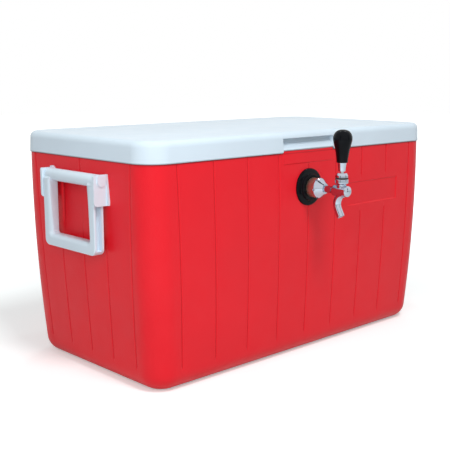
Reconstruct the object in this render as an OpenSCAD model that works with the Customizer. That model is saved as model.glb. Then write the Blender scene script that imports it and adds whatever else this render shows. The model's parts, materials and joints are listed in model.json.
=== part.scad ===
// Jockey box: an insulated chest cooler that chills and pours beer through a tap on its front.
// X runs along the chest, the tap faces -Y and +Z is up. The origin is under the middle of the base.

/* [Chest] */
// Length of the red body just under the lid
body_length = 650; // [600:5:680]
// Width of the red body just under the lid
body_width = 326; // [320:2:340]
// Height of the red body's rim
rim_height = 333; // [333:1:340]
// Radius of the upright corners
corner_radius = 38; // [34:1:38]
// Radius where the walls turn into the base
base_radius = 27; // [22:1:30]
// Wall thickness of the red outer shell
shell_wall = 3; // [2.6:0.1:3.2]
// Wall thickness of the white tub liner
liner_wall = 2.5; // [2:0.1:2.8]
// Inside length of the tub at its mouth
tub_length = 580; // [560:5:584]
// Inside width of the tub at its mouth
tub_width = 262; // [256:2:264]
// Height of the tub floor
tub_floor = 35; // [34:1:38]

/* [Wall grooves] */
// Spacing of the upright grooves on the long sides
side_pitch = 68.65; // [60:0.05:72]
// Spacing of the upright grooves on the ends
end_pitch = 61.35; // [50:0.05:64]
// Width of a groove
groove_width = 3.2; // [2:0.1:4]
// Depth of a groove
groove_depth = 1.3; // [0.6:0.1:1.6]

/* [Lid] */
// Height of the lid from its skirt's edge to the end of its edge rounding
lid_height = 32; // [30:1:38]
// How far the skirt stands out past the body
lid_overhang = 1.8; // [1.2:0.1:3]
// Radius of the rounded top edge
lid_edge_radius = 9.5; // [6:0.5:11]
// How much the middle of the lid stands above its edge
lid_crown = 2; // [1:0.5:4]
// Length of the finger grip in the front of the lid
grip_length = 122; // [100:2:130]

/* [Bail handles] */
// Outside width of a handle
handle_width = 132; // [120:1:134]
// Distance from the pivot down to the handle's lower edge
handle_drop = 108; // [100:1:110]
// Thickness of a handle across its channel
handle_depth = 16.4; // [15:0.2:17]
// Radius of the handle's round top bar
handle_bar_radius = 9.4; // [8:0.1:9.6]
// Distance from the end wall to the pivot
handle_standoff = 11.5; // [11:0.1:12]
// Height of the pivots
handle_pivot_height = 305; // [303:0.5:306]

/* [Tap] */
// Height of the tap's axis
tap_height = 276; // [274:1:278]
// Diameter of the black wall flange
flange_diameter = 60; // [56:1:64]
// Diameter of the knob at its widest
knob_diameter = 30; // [28:0.5:32]
// Height of the knob
knob_height = 51; // [48:1:54]
// Outside diameter of the spout
spout_diameter = 12.2; // [11.6:0.1:12.4]
// Bore of the spout
spout_bore = 9; // [8:0.1:9.4]

/* [Cooling coil] */
// Outside diameter of the stainless tube
coil_tube = 7.9; // [7.6:0.1:8]
// Radius of the turns at the middle of the tube
coil_radius = 95; // [90:1:96]
// Number of turns
coil_turns = 23.5; // [21.5:1:23.5]

/* [Keg line inlet] */
// Diameter of the thread that takes the keg line's hex nut
inlet_thread = 22.2; // [22:0.1:22.4]
// Length of that thread outside the rear wall
inlet_length = 18; // [16:1:20]

/* [Hidden] */

white = "#e6eef0";
red = "#dd2433";
chrome = "#c9ccd0";
steel = "#b8bcc0";
brass = "#c08a5a";
black = "#16181a";
foam = "#efe6c4";
clear_hose = "#d8dcd8";

round_fn = 64;
hole_clear = 0.3;      // gap left between moulded skins
foam_gap = 0.4;        // gap between the foam and the skins round it
pin_clear = 0.05;      // radial running clearance of a pin
thread_clear = 0.02;   // the same round a thread or a pressed part
corner_steps = 8;      // facets in an upright corner
edge_over = 1;         // how far a cut runs past a face
least_radius = 8;      // smallest upright corner of an inner ring
inner_levels = [100, 200];     // heights of the rings inside the walls, shared by skin and foam
groove_levels = [90, 145];     // heights of the extra rings in the grooved wall
wall_bow = 0.6;        // how far a side wall bows out past its rim, less its seat's depth

// ---- Walls of the chest: each face leans in towards the base along a gentle curve ----

function depth_below_rim(z) = rim_height - z;
function end_inset(z) = let (d = depth_below_rim(z)) 0.0078 * d + 0.000126 * d * d;
function side_inset(z) = let (d = depth_below_rim(z)) -0.0283 * d + 0.00014 * d * d;
function half_length(z) = body_length / 2 - end_inset(z);
function half_width(z) = body_width / 2 - side_inset(z);
// The grooves draw together towards the base
function side_draw(z) = 1 - 0.000125 * depth_below_rim(z);
function end_draw(z) = 1 - 0.00029 * depth_below_rim(z);

land_bottom = rim_height - 18;     // lower edge of the raised land under the lid grip
land_top = rim_height + 3.6;       // upper edge of that land
land_length = grip_length - 3;
land_proud = 1;
land_corner = 4;
badge_low = 234;                   // bare badge place right of the tap
badge_high = 273.5;
badge_left = 102;
badge_right = 241;
badge_corner = 3;
badge_seat = 0.2;                  // the flat place lies this far outside the rim's line
badge_margin = 9;
groove_low = base_radius + 5;      // grooves start above the base rounding
groove_fade = 4;                   // length over which a groove runs out
end_groove_top = 205;              // the outer end grooves stop below the handles

function run_out(z, low, high) =
    z < low || z > high ? 0
    : z < low + groove_fade ? (z - low) / groove_fade
    : z > high - groove_fade ? (high - z) / groove_fade
    : 1;

// Depth of groove i at height z. The front has the land and the badge place in it
function front_groove(i, z) =
    i == 0 ? run_out(z, groove_low, land_bottom)
    : i == 2 || i == 3 ? run_out(z, groove_low, badge_low - badge_margin)
        + run_out(z, badge_high + badge_margin, rim_height + groove_fade)
    : run_out(z, groove_low, rim_height + groove_fade);
function rear_groove(i, z) = run_out(z, groove_low, rim_height + groove_fade);
function end_groove(i, z) = run_out(z, groove_low, abs(i) == 1 ? end_groove_top : rim_height + groove_fade);

// One straight wall of a ring: three points for every groove
function vee(middle, along, inward, offset, depth) = [
    middle + along * (offset - groove_width / 2),
    middle + along * offset + inward * depth,
    middle + along * (offset + groove_width / 2)
];
function arc_points(centre, radius, start, steps) =
    [for (i = [0:steps]) centre + radius * [cos(start + 90 * i / steps), sin(start + 90 * i / steps)]];

function body_ring(z, inset, grooved) =
    let (hx = half_length(max(z, base_radius)) - inset,
         hy = half_width(max(z, base_radius)) - inset,
         r = max(corner_radius - inset, least_radius),
         g = grooved ? groove_depth : 0,
         ps = side_pitch * side_draw(z),
         pe = end_pitch * end_draw(z),
         flat = concat(
            [for (i = [-4:4]) each vee([0, -hy], [1, 0], [0, 1], i * ps, g * front_groove(i, z))],
            arc_points([hx - r, r - hy], r, -90, corner_steps),
            [for (i = [-2:2]) each vee([hx, 0], [0, 1], [-1, 0], i * pe, g * end_groove(i, z))],
            arc_points([hx - r, hy - r], r, 0, corner_steps),
            [for (i = [-4:4]) each vee([0, hy], [-1, 0], [0, -1], i * ps, g * rear_groove(i, z))],
            arc_points([r - hx, hy - r], r, 90, corner_steps),
            [for (i = [-2:2]) each vee([-hx, 0], [0, -1], [1, 0], i * pe, g * end_groove(i, z))],
            arc_points([r - hx, r - hy], r, 180, corner_steps)))
    [for (p = flat) [p[0], p[1], z]];

function plain_ring(hx, hy, r, z) = [
    for (p = concat(
        arc_points([hx - r, r - hy], r, -90, corner_steps),
        arc_points([hx - r, hy - r], r, 0, corner_steps),
        arc_points([r - hx, hy - r], r, 90, corner_steps),
        arc_points([r - hx, r - hy], r, 180, corner_steps))) [p[0], p[1], z]];

// Skin over a stack of rings with equal point counts, closed by a fan at each end
module loft(rings, first_centre, last_centre) {
    n = len(rings[0]);
    m = len(rings);
    points = concat([for (ring = rings) each ring], [first_centre, last_centre]);
    walls = [for (j = [0:m - 2]) for (i = [0:n - 1])
        let (a = j * n + i, b = j * n + (i + 1) % n) each [[a, a + n, b + n], [a, b + n, b]]];
    first_fan = [for (i = [0:n - 1]) [m * n, i, (i + 1) % n]];
    last_fan = [for (i = [0:n - 1]) [m * n + 1, (m - 1) * n + (i + 1) % n, (m - 1) * n + i]];
    polyhedron(points, concat(walls, first_fan, last_fan), convexity = 6);
}

// ---- Small tools for placing round pieces ----

// A cylinder along Y that starts at y and runs towards +Y
module y_rod(radius, y, length, at = [0, 0], fn = round_fn) {
    translate([at[0], y, at[1]]) rotate([-90, 0, 0]) cylinder(r = radius, h = length, $fn = fn);
}
// A cylinder along X that starts at x and runs towards +X
module x_rod(radius, x, length, at = [0, 0], fn = round_fn) {
    translate([x, at[0], at[1]]) rotate([0, 90, 0]) cylinder(r = radius, h = length, $fn = fn);
}
// A revolved profile of [radius, distance] pairs, with its distance along -Y
module y_turned(profile, y, at = [0, 0]) {
    translate([at[0], y, at[1]]) rotate([90, 0, 0]) rotate_extrude($fn = round_fn) polygon(profile);
}
module rounded_rect(w, h, r) {
    offset(r = r, $fn = 24) square([w - 2 * r, h - 2 * r], center = true);
}
// The same thing on the other end of the chest
module other_end() {
    rotate([0, 0, 180]) children();
}

// ---- Chest ----

pocket_top = 308;                  // hand pocket behind each handle
pocket_bottom = 212;
pocket_half = 52;
pocket_depth = 5;
pocket_wall = 2.8;
pocket_over = 12;                  // how far the pocket's cutter stands out of the wall
backing_start = 1.2;               // the pocket's backing starts this far inside the wall's face
backing_room = 20;
bracket_inner = handle_width / 2 + 0.3;
bracket_plate = 4;
bracket_outer = bracket_inner + bracket_plate;
peg_radius = 1.8;
peg_heights = [281, 299];
peg_length = 12;
peg_hole = 20;                     // length of a peg's hole through the skin
peg_room = 0.1;                    // radial room round pegs and screws in the foam
end_wall_x = half_length(handle_pivot_height);

tap_wall = body_width / 2 + wall_bow;      // flat seat of the tap flange
inlet_x = 74;                      // the keg line comes in through the rear wall
inlet_wall = body_width / 2 + wall_bow;
inlet_seat_radius = 16.5;
shank_radius = 11.1;
shank_room = 0.2;                  // radial room round a shank in the outer wall

drain_y = -28;
drain_height = 60;
drain_face = 315;                  // flat end of the drain's moulded boss
drain_boss_radius = 21;
drain_boss_from = 300;             // where that boss starts inside the end wall
drain_hole_radius = 13;
drain_hole_from = 200;
drain_hole_length = 150;
tub_drain_face = 276.5;            // flat seat of the drain's nut inside the tub
drain_seat_depth = 5;

hinge_x = [-200, 200];
hinge_axis_y = body_width / 2 + 8;
hinge_axis_z = rim_height + 1;
hinge_length = 52;
leaf_thick = 3;
screw_radius = 2;
screw_length = 11;
screw_hole_length = 14;
screw_hole_from = body_width / 2 - 9;
screw_gap = 17;                    // a hinge's screws stand this far either side of its middle
base_screw_z = rim_height - 15;
leaf_screw_z = rim_height + 15;

// Solid behind and in front of the hand pocket's sloping floor, moved inwards by shift
module pocket_wedge(shift, grow) {
    rotate([90, 0, 0]) linear_extrude(2 * (pocket_half + grow), center = true) polygon([
        [-end_wall_x - pocket_over, pocket_top + grow],
        [-end_wall_x + pocket_depth + shift, pocket_top + grow],
        [-half_length(pocket_bottom) + shift, pocket_bottom - grow],
        [-end_wall_x - pocket_over, pocket_bottom - grow]
    ]);
}
// Part of that wedge that lies inside the outer wall, so that the shell stays closed behind the pocket
module pocket_backing(grow) {
    intersection() {
        pocket_wedge(pocket_wall + grow, pocket_wall + grow);
        translate([-half_length(pocket_bottom) + backing_start, -pocket_half - backing_room,
            pocket_bottom - backing_room])
            cube([2 * backing_room, 2 * (pocket_half + backing_room),
                pocket_top - pocket_bottom + 2 * backing_room]);
    }
}
module peg_holes(radius, x, length) {
    for (side = [-1, 1], z = peg_heights)
        x_rod(radius, x, length, [side * (bracket_inner + bracket_plate / 2), z], 24);
}
module wall_holes(radius_extra) {
    y_rod(shank_radius + shank_room + radius_extra, -body_width, body_width, [0, tap_height]);
    y_rod(inlet_thread / 2 + shank_room + radius_extra, 0, body_width, [inlet_x, tap_height]);
    x_rod(drain_hole_radius + radius_extra, drain_hole_from, drain_hole_length, drain_axis);
}
module base_screw_shanks(radius) {
    for (x = hinge_x, dx = [-screw_gap, screw_gap])
        y_rod(radius, screw_hole_from, screw_hole_length, [x + dx, base_screw_z], 24);
}
module leaf_screw_shanks(radius) {
    for (x = hinge_x, dx = [-screw_gap, screw_gap])
        y_rod(radius, screw_hole_from + 1, screw_hole_length, [x + dx, leaf_screw_z], 24);
}

module outer_shell() {
    base_angles = [0:18:90];
    wall_levels = [groove_low, groove_low + groove_fade, each groove_levels,
        end_groove_top - groove_fade, end_groove_top,
        badge_low - badge_margin - groove_fade, badge_low - badge_margin,
        badge_high + badge_margin, badge_high + badge_margin + groove_fade,
        land_bottom - groove_fade, land_bottom, rim_height];
    inner_radius = base_radius - shell_wall;
    rings = concat(
        [for (a = base_angles) body_ring(base_radius * (1 - cos(a)), base_radius * (1 - sin(a)), false)],
        [for (z = wall_levels) body_ring(z, 0, true)],
        [for (z = [rim_height, inner_levels[1], inner_levels[0]]) body_ring(z, shell_wall, false)],
        [for (a = [90, 45, 0]) body_ring(base_radius - inner_radius * cos(a),
            base_radius - inner_radius * sin(a), false)]);
    color(red) difference() {
        union() {
            loft(rings, [0, 0, 0], [0, 0, shell_wall]);
            // land under the lid grip
            translate([0, -body_width / 2 + shell_wall, (land_bottom + land_top) / 2]) rotate([90, 0, 0])
                linear_extrude(shell_wall + land_proud + wall_bow)
                rounded_rect(land_length, land_top - land_bottom, land_corner);
            pocket_backing(0);
            other_end() pocket_backing(0);
            // drain boss
            difference() {
                x_rod(drain_boss_radius, drain_boss_from, drain_face - drain_boss_from, drain_axis);
                x_rod(drain_hole_radius, drain_hole_from, drain_hole_length, drain_axis);
            }
        }
        pocket_wedge(0, 0);
        other_end() pocket_wedge(0, 0);
        // bare badge place, a shallow flat panel
        translate([(badge_left + badge_right) / 2, -body_width / 2 - badge_seat,
            (badge_low + badge_high) / 2])
            rotate([90, 0, 0]) linear_extrude(shell_wall)
            rounded_rect(badge_right - badge_left, badge_high - badge_low, badge_corner);
        // flat seats for the tap flange and the inlet washer
        y_rod(flange_diameter / 2 + 0.5, -tap_wall - 10, 10, [0, tap_height]);
        y_rod(inlet_seat_radius, inlet_wall, 10, [inlet_x, tap_height]);
        wall_holes(0);
        peg_holes(peg_radius + pin_clear, -body_length / 2 - 5, peg_hole);
        other_end() peg_holes(peg_radius + pin_clear, -body_length / 2 - 5, peg_hole);
        base_screw_shanks(screw_radius + pin_clear);
    }
}

// Inside of the tub at height z
tub_draft = [0.04, 0.0367];        // how much each end and each side of the tub leans in
function tub_half_length(z) = tub_length / 2 - tub_draft[0] * depth_below_rim(z);
function tub_half_width(z) = tub_width / 2 - tub_draft[1] * depth_below_rim(z);
tub_radius = 32;
tub_base_radius = 14;
flange_thick = 3;                  // the liner's rim lies on the shell
tub_mouth = rim_height + flange_thick;

function tub_ring(z, grow) =
    plain_ring(tub_half_length(z) + grow, tub_half_width(z) + grow, tub_radius + grow, z);
// Rings of the rounded tub base, grown outwards by the skin thickness
function tub_base(a, grow) =
    tub_ring_at(tub_floor + tub_base_radius - (tub_base_radius + grow) * cos(a),
        (tub_base_radius + grow) * sin(a) - tub_base_radius);
function tub_ring_at(z, grow) =
    let (hold = tub_floor + tub_base_radius)
    plain_ring(tub_half_length(hold) + grow, tub_half_width(hold) + grow, tub_radius + grow, z);

module foam_core() {
    foam_top = rim_height - hole_clear;
    outer_r = base_radius - shell_wall - foam_gap;
    skin = liner_wall + foam_gap;
    flat = base_radius + 2;            // the foam's flat base starts this far in
    rings = concat(
        [plain_ring(half_length(base_radius) - flat, half_width(base_radius) - flat, corner_radius - flat,
            shell_wall)],
        [for (a = [45, 90]) foam_ring(base_radius - outer_r * cos(a), base_radius - outer_r * sin(a))],
        [for (z = [each inner_levels, foam_top]) foam_ring(z, shell_wall + foam_gap)],
        [tub_ring(foam_top, skin), tub_ring(inner_levels[1], skin)],
        [for (a = [90, 45]) tub_base(a, skin)],
        [tub_ring_at(tub_floor - skin, -tub_base_radius)]);
    color(foam) difference() {
        loft(rings, [0, 0, shell_wall], [0, 0, tub_floor - skin]);
        pocket_backing(foam_gap);
        other_end() pocket_backing(foam_gap);
        wall_holes(peg_room);
        peg_holes(peg_radius + peg_room, -body_length / 2 - 5, 2 * peg_hole);
        other_end() peg_holes(peg_radius + peg_room, -body_length / 2 - 5, 2 * peg_hole);
        base_screw_shanks(screw_radius + peg_room);
        // room for the bosses inside the liner's wall
        y_rod(boss_room_radius, -body_width / 2 + boss_room_skin, boss_room, [0, tap_height]);
        y_rod(boss_room_radius, body_width / 2 - boss_room_skin - boss_room, boss_room,
            [inlet_x, tap_height]);
        x_rod(drain_boss_radius + foam_gap, drain_boss_from - 1, boss_room, drain_axis);
        x_rod(seat_radius + foam_gap, tub_drain_face - 1, drain_seat_depth + 1 + foam_gap,
            drain_axis);
    }
}
function foam_ring(z, inset) =
    let (h = max(z, base_radius))
    plain_ring(half_length(h) - inset, half_width(h) - inset, max(corner_radius - inset, least_radius), z);

tub_tap_face = tub_width / 2 - 3.5;    // flat seats for the nuts inside the tub
seat_radius = 19;
seat_depth = 4;
boss_room_radius = 20;                 // room in the foam behind those seats
boss_room_skin = 8;
boss_room = 30;
rim_inset = 3.5;                       // the liner's rim lies this far inside the body's edge
rim_edge = 0.8;
mouth_round = 1.8;
mouth_flare = 1.5;

module tub_liner() {
    rings = concat(
        [tub_ring_at(tub_floor - liner_wall, -tub_base_radius)],
        [for (a = [45, 90]) tub_base(a, liner_wall)],
        [tub_ring(inner_levels[1], liner_wall), tub_ring(rim_height, liner_wall)],
        [lid_ring(-rim_inset, rim_height), lid_ring(-rim_inset, tub_mouth - rim_edge),
         lid_ring(-rim_inset - rim_edge, tub_mouth)],
        [plain_ring(tub_length / 2 + mouth_flare, tub_width / 2 + mouth_flare, tub_radius + mouth_flare,
            tub_mouth)],
        [tub_ring(tub_mouth - mouth_round, 0), tub_ring(inner_levels[1], 0)],
        [for (a = [90, 60, 30]) tub_base(a, 0)],
        [tub_ring_at(tub_floor, -tub_base_radius)]);
    color(white) difference() {
        union() {
            loft(rings, [0, 0, tub_floor - liner_wall], [0, 0, tub_floor]);
            y_rod(seat_radius, -tub_tap_face - seat_depth, seat_depth, [0, tap_height]);
            y_rod(seat_radius, tub_tap_face, seat_depth, [inlet_x, tap_height]);
            x_rod(seat_radius, tub_drain_face, drain_seat_depth, drain_axis);
        }
        wall_holes(-peg_room);
    }
}

// ---- Bail handles and their brackets, drawn for the left end ----

pivot_x = -end_wall_x - handle_standoff;
pivot_pin_radius = 4;
bracket_top = handle_pivot_height + 9.5;
bracket_low = handle_pivot_height - 35.5;
bracket_out = 24.5;                // how far a bracket stands out of the wall
boss_radius = 7.5;
boss_proud = 1.5;
bracket_chamfer = 1.5;
bracket_corner = 6;
foot_thick = 3;
foot_spread = 3.6;
lug = [5, bracket_plate, 6];
lug_back = 7;
wall_gap = 0.1;                    // the wall bows out this little behind a straight foot

// One bracket on the +Y side of the left end. stop adds the lug that the raised handle meets
module bracket(stop) {
    wall_top = -half_length(bracket_top) - wall_gap;
    wall_low = -half_length(bracket_low) - wall_gap;
    face = wall_top - bracket_out;
    difference() {
        union() {
            translate([0, bracket_inner + bracket_plate, 0]) rotate([90, 0, 0]) linear_extrude(bracket_plate)
                polygon(concat(
                    [[wall_top, bracket_top], [face + bracket_chamfer, bracket_top],
                        [face, bracket_top - bracket_chamfer]],
                    [for (a = [180:15:270]) [face, bracket_low] + bracket_corner * [1 + cos(a), 1 + sin(a)]],
                    [[wall_low, bracket_low]]));
            // foot that spreads against the wall
            intersection() {
                translate([wall_top - 10, 0, 0]) rotate([0, 90, 0]) linear_extrude(20)
                    polygon([[-bracket_top, bracket_inner], [-bracket_low, bracket_inner],
                        [-bracket_low, bracket_outer + foot_thick],
                        [-bracket_low - bracket_corner, bracket_outer + foot_spread],
                        [-bracket_top, bracket_outer]]);
                rotate([90, 0, 0]) linear_extrude(200, center = true) polygon([[wall_top, bracket_top],
                    [wall_top - foot_thick, bracket_top], [wall_low - foot_thick, bracket_low],
                    [wall_low, bracket_low]]);
            }
            // raised boss over the pivot's blind hole
            y_rod(boss_radius, bracket_outer - 1, boss_proud + 1, [pivot_x, handle_pivot_height], 48);
            translate([pivot_x - boss_radius, bracket_outer - 1, handle_pivot_height])
                cube([2 * boss_radius, boss_proud + 1, bracket_top - handle_pivot_height - bracket_chamfer]);
            for (z = peg_heights)
                x_rod(peg_radius, -end_wall_x - 1, peg_length, [bracket_inner + bracket_plate / 2, z], 24);
            if (stop)
                translate([wall_top - lug_back, bracket_inner, bracket_top - 2]) cube(lug);
        }
        y_rod(pivot_pin_radius + pin_clear, bracket_inner - edge_over, bracket_plate + edge_over + 0.4,
            [pivot_x, handle_pivot_height], 48);
    }
}
module bracket_left_rear() {
    color(white) bracket(true);
}
module bracket_left_front() {
    color(white) mirror([0, 1, 0]) bracket(false);
}
module bracket_right_front() {
    color(white) other_end() bracket(true);
}
module bracket_right_rear() {
    color(white) other_end() mirror([0, 1, 0]) bracket(false);
}

bail_low = handle_pivot_height - handle_drop;
bail_bar = 16;                     // width of the side bars
bail_grip = 18.5;                  // height of the bottom bar
bail_web = 4;
bail_flange = 3;
bail_corner = 10;
bail_head = 14;                    // height of a side bar's closed upper end
bail_back = 5;                     // the handle's rear face, behind its pivots

module bail_frame(outer_cut) {
    // the loop in its own plane, y across and z up
    difference() {
        translate([0, (bail_low + handle_pivot_height) / 2])
            rounded_rect(handle_width - 2 * outer_cut, handle_drop - 2 * outer_cut,
                bail_corner - min(outer_cut, 6));
        translate([0, (bail_low + bail_grip + handle_pivot_height - handle_bar_radius) / 2])
            rounded_rect(handle_width - 2 * bail_bar,
                handle_pivot_height - handle_bar_radius - bail_low - bail_grip, 3);
    }
}
module bail_handle() {
    back = pivot_x + bail_back;
    front = back - handle_depth;
    cut = bail_bar - bail_web;
    color(white) {
        difference() {
            union() {
                // front and rear flanges with the web that joins them round the opening
                for (x = [front, back - bail_flange])
                    translate([x, 0, 0]) rotate([90, 0, 90]) linear_extrude(bail_flange) bail_frame(0);
                translate([front, 0, 0]) rotate([90, 0, 90]) linear_extrude(handle_depth) bail_frame(cut);
                // closed upper ends of the side bars
                for (side = [-1, 1])
                    translate([front, side * (handle_width / 2 - bail_bar / 2) - bail_bar / 2,
                        handle_pivot_height - bail_head])
                        cube([handle_depth, bail_bar, bail_head]);
                // the top bar, round, on the pivots
                y_rod(handle_bar_radius, -handle_width / 2, handle_width, [pivot_x, handle_pivot_height], 48);
            }
            // the front of the loop's head is cut back to the round bar
            difference() {
                translate([front - 4, -handle_width, handle_pivot_height]) cube([30, 2 * handle_width, 20]);
                y_rod(handle_bar_radius, -handle_width, 2 * handle_width, [pivot_x, handle_pivot_height], 48);
            }
        }
        for (side = [-1, 1])
            y_rod(pivot_pin_radius, side > 0 ? handle_width / 2 - 0.5 : -handle_width / 2 - bracket_plate,
                bracket_plate + 0.5, [pivot_x, handle_pivot_height], 48);
    }
}
module bail_handle_left() {
    bail_handle();
}
module bail_handle_right() {
    other_end() bail_handle();
}

// ---- Lid ----

skirt_low = rim_height + 0.6;
skirt_wall = 3.2;
lid_straight = skirt_low + lid_height - lid_edge_radius;   // where the edge rounding starts
lid_lean = 0.8;
pan_low = tub_mouth + hole_clear;
pan_thick = 2.5;
plug_depth = 12;
plug_gap = 3.5;                    // room between the plug and the tub's wall
lid_top_wall = 3;
lid_top = skirt_low + lid_height;
grip_low = skirt_low + 5;
grip_high = skirt_low + 22.5;
grip_depth = 8.5;
grip_wall = 1.6;
inner_taper = 6;                   // the lid's inside narrows this much under its top
lid_foam_gap = 0.3;
land_gap = 0.6;                    // room between the lid and the body's land
mouth_cut = 11.9;                  // the pan stops this far behind the body's front, clear of the grip
crown_rings = [[45, 0.55], [100, 0.9]];    // inset of each ring on the top and its share of the crown

function lid_ring(grow, z) =
    plain_ring(body_length / 2 + grow, body_width / 2 + grow, max(corner_radius + grow, least_radius), z);

// Finger grip in the front of the skirt: it goes in under the top edge and comes out again at its lip
module grip_scoop() {
    front = -body_width / 2 - lid_overhang;
    rotate([90, 0, 90]) linear_extrude(grip_length, center = true) polygon([
        [front - 5, grip_high], [front + 1.5, grip_high], [front + grip_depth - 1.5, grip_high - 5.5],
        [front + grip_depth, grip_high - 8], [front + grip_depth - 1, grip_low + 5.5],
        [front + 1, grip_low], [front - 5, grip_low]
    ]);
}
module grip_backing(grow) {
    front = -body_width / 2 - lid_overhang;
    low = land_top + land_gap + 0.5 - grow;
    high = grip_high + 6.1;
    half = grip_length / 2 + grip_wall + 0.9 + grow;
    translate([-half, front + 1.2, low]) cube([2 * half, grip_depth + grip_wall + grow, high - low]);
}

module lid_shell() {
    inner = lid_overhang - skirt_wall;
    ceiling = lid_top - lid_top_wall;
    rings = concat(
        [lid_ring(inner - inner_taper, ceiling), lid_ring(inner - 1, ceiling - inner_taper)],
        [lid_ring(inner, skirt_low), lid_ring(lid_overhang, skirt_low)],
        [for (a = [0:18:90]) lid_ring(lid_overhang - lid_lean - lid_edge_radius * (1 - cos(a)),
            lid_straight + lid_edge_radius * sin(a))],
        [for (c = crown_rings) lid_ring(-c[0], lid_top + c[1] * lid_crown)]);
    color(white) difference() {
        union() {
            loft(rings, [0, 0, ceiling], [0, 0, lid_top + lid_crown]);
            grip_backing(0);
        }
        grip_scoop();
        // the skirt is notched over the body's land
        translate([0, -body_width / 2, land_top + land_gap - 5]) rotate([90, 0, 0])
            linear_extrude(30, center = true) rounded_rect(land_length + 3, 10, 3);
        leaf_screw_shanks(screw_radius + pin_clear);
    }
}
module lid_foam() {
    grow = lid_overhang - skirt_wall - foam_gap;
    low = pan_low + pan_thick;
    high = lid_top - lid_top_wall - lid_foam_gap;
    rings = [lid_ring(grow, low), lid_ring(grow - 1.2, high - inner_taper - 0.2),
        lid_ring(grow - inner_taper, high)];
    color(foam) difference() {
        loft(rings, [0, 0, low], [0, 0, high]);
        grip_backing(foam_gap);
        leaf_screw_shanks(screw_radius + peg_room);
    }
}
module lid_liner() {
    grow = lid_overhang - skirt_wall - foam_gap;
    bottom = pan_low - plug_depth;
    // The plug is a low wall that hangs into the tub's mouth and tapers to its edge
    rings = [
        plug_ring(3.5, pan_low), plug_ring(3, bottom), plug_ring(0.5, bottom), plug_ring(0, pan_low),
        lid_ring(grow, pan_low),
        lid_ring(grow, pan_low + pan_thick)];
    color(white) difference() {
        loft(rings, [0, 0, pan_low], [0, 0, pan_low + pan_thick]);
        translate([-grip_length / 2 - 5, -body_width / 2 - 5, pan_low - 5])
            cube([grip_length + 10, mouth_cut + 5, pan_thick + 10]);
    }
}
function plug_ring(inset, z) = plain_ring(tub_length / 2 - plug_gap - inset, tub_width / 2 - plug_gap - inset,
    tub_radius - plug_gap - inset, z);

// ---- Hinges on the rear wall ----

knuckle_radius = 4.6;
hinge_pin_radius = 2;
leaf_knuckle = 20;                 // length of the lid leaf's knuckle in the middle

knuckle_gap = 0.3;
hinge_axis = [hinge_axis_y, hinge_axis_z];
head_height = 2.3;                 // a screw's head

module screw_set(y, z) {
    for (x = hinge_x, dx = [-screw_gap, screw_gap]) {
        difference() {
            translate([x + dx, y, z]) rotate([-90, 0, 0]) rotate_extrude($fn = 32)
                polygon([[0, -0.1], [3.6, -0.1], [3.6, 0.8], [2.6, 1.9], [0, head_height]]);
            for (a = [0, 90])
                translate([x + dx, y + head_height, z]) rotate([0, a, 0]) cube([0.9, 2.2, 4], center = true);
        }
        y_rod(screw_radius, y - screw_length, screw_length, [x + dx, z], 24);
    }
}
base_plate_top = hinge_axis_z - knuckle_radius - 0.6;
base_plate_height = 24;
base_seat = half_width(base_plate_top - base_plate_height);    // the wall is widest at the plate's foot
module hinge_base(x) {
    wall = base_seat;
    top = base_plate_top;
    w = (hinge_length - leaf_knuckle) / 2 - knuckle_gap;
    color(white) difference() {
        union() {
            translate([x, wall + leaf_thick / 2, top - base_plate_height / 2]) rotate([90, 0, 0])
                linear_extrude(leaf_thick, center = true) rounded_rect(hinge_length, base_plate_height, 3);
            for (side = [-1, 1]) translate([x, 0, 0]) {
                start = side > 0 ? leaf_knuckle / 2 + knuckle_gap : -hinge_length / 2;
                x_rod(knuckle_radius, start, w, hinge_axis, 48);
                translate([start, wall, top - 4]) cube([w, hinge_axis_y - wall, 4 + knuckle_radius - 0.5]);
            }
        }
        x_rod(hinge_pin_radius + thread_clear, x - hinge_length, 2 * hinge_length, hinge_axis, 32);
        for (dx = [-screw_gap, screw_gap])
            y_rod(screw_radius + pin_clear, wall - 2, 10, [x + dx, base_screw_z], 24);
        // relief for the lid's skirt
        translate([x - hinge_length, wall - 1, skirt_low - 0.6])
            cube([2 * hinge_length, lid_overhang + 1.4, 20]);
    }
}
module hinge_leaf(x) {
    wall = body_width / 2 + lid_overhang + 0.1;
    low = hinge_axis_z + knuckle_radius + 1.4;
    color(white) difference() {
        union() {
            translate([x, wall + leaf_thick / 2, low + 9]) rotate([90, 0, 0])
                linear_extrude(leaf_thick, center = true) rounded_rect(hinge_length, 18, 3);
            x_rod(knuckle_radius, x - leaf_knuckle / 2, leaf_knuckle, hinge_axis, 48);
            translate([x - leaf_knuckle / 2, wall, hinge_axis_z])
                cube([leaf_knuckle, leaf_thick, low - hinge_axis_z + 4]);
            translate([x - leaf_knuckle / 2, wall + 1, hinge_axis_z])
                cube([leaf_knuckle, hinge_axis_y - wall - 1, knuckle_radius]);
        }
        x_rod(hinge_pin_radius + pin_clear, x - hinge_length, 2 * hinge_length, hinge_axis, 32);
        for (dx = [-screw_gap, screw_gap])
            y_rod(screw_radius + pin_clear, wall - 2, 10, [x + dx, leaf_screw_z], 24);
    }
}
module hinge_pin(x) {
    start = x - hinge_length / 2 - 0.5;
    head = 1.2;
    color(steel) union() {
        x_rod(hinge_pin_radius, start, hinge_length + 1, hinge_axis, 32);
        x_rod(hinge_pin_radius + head, start - head, head, hinge_axis, 32);
    }
}
module hinge_base_left() {
    hinge_base(hinge_x[0]);
}
module hinge_base_right() {
    hinge_base(hinge_x[1]);
}
module hinge_leaf_left() {
    hinge_leaf(hinge_x[0]);
}
module hinge_leaf_right() {
    hinge_leaf(hinge_x[1]);
}
module hinge_pin_left() {
    hinge_pin(hinge_x[0]);
}
module hinge_pin_right() {
    hinge_pin(hinge_x[1]);
}
module hinge_base_screws() {
    color(steel) screw_set(base_seat + leaf_thick + 0.1, base_screw_z);
}
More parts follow.
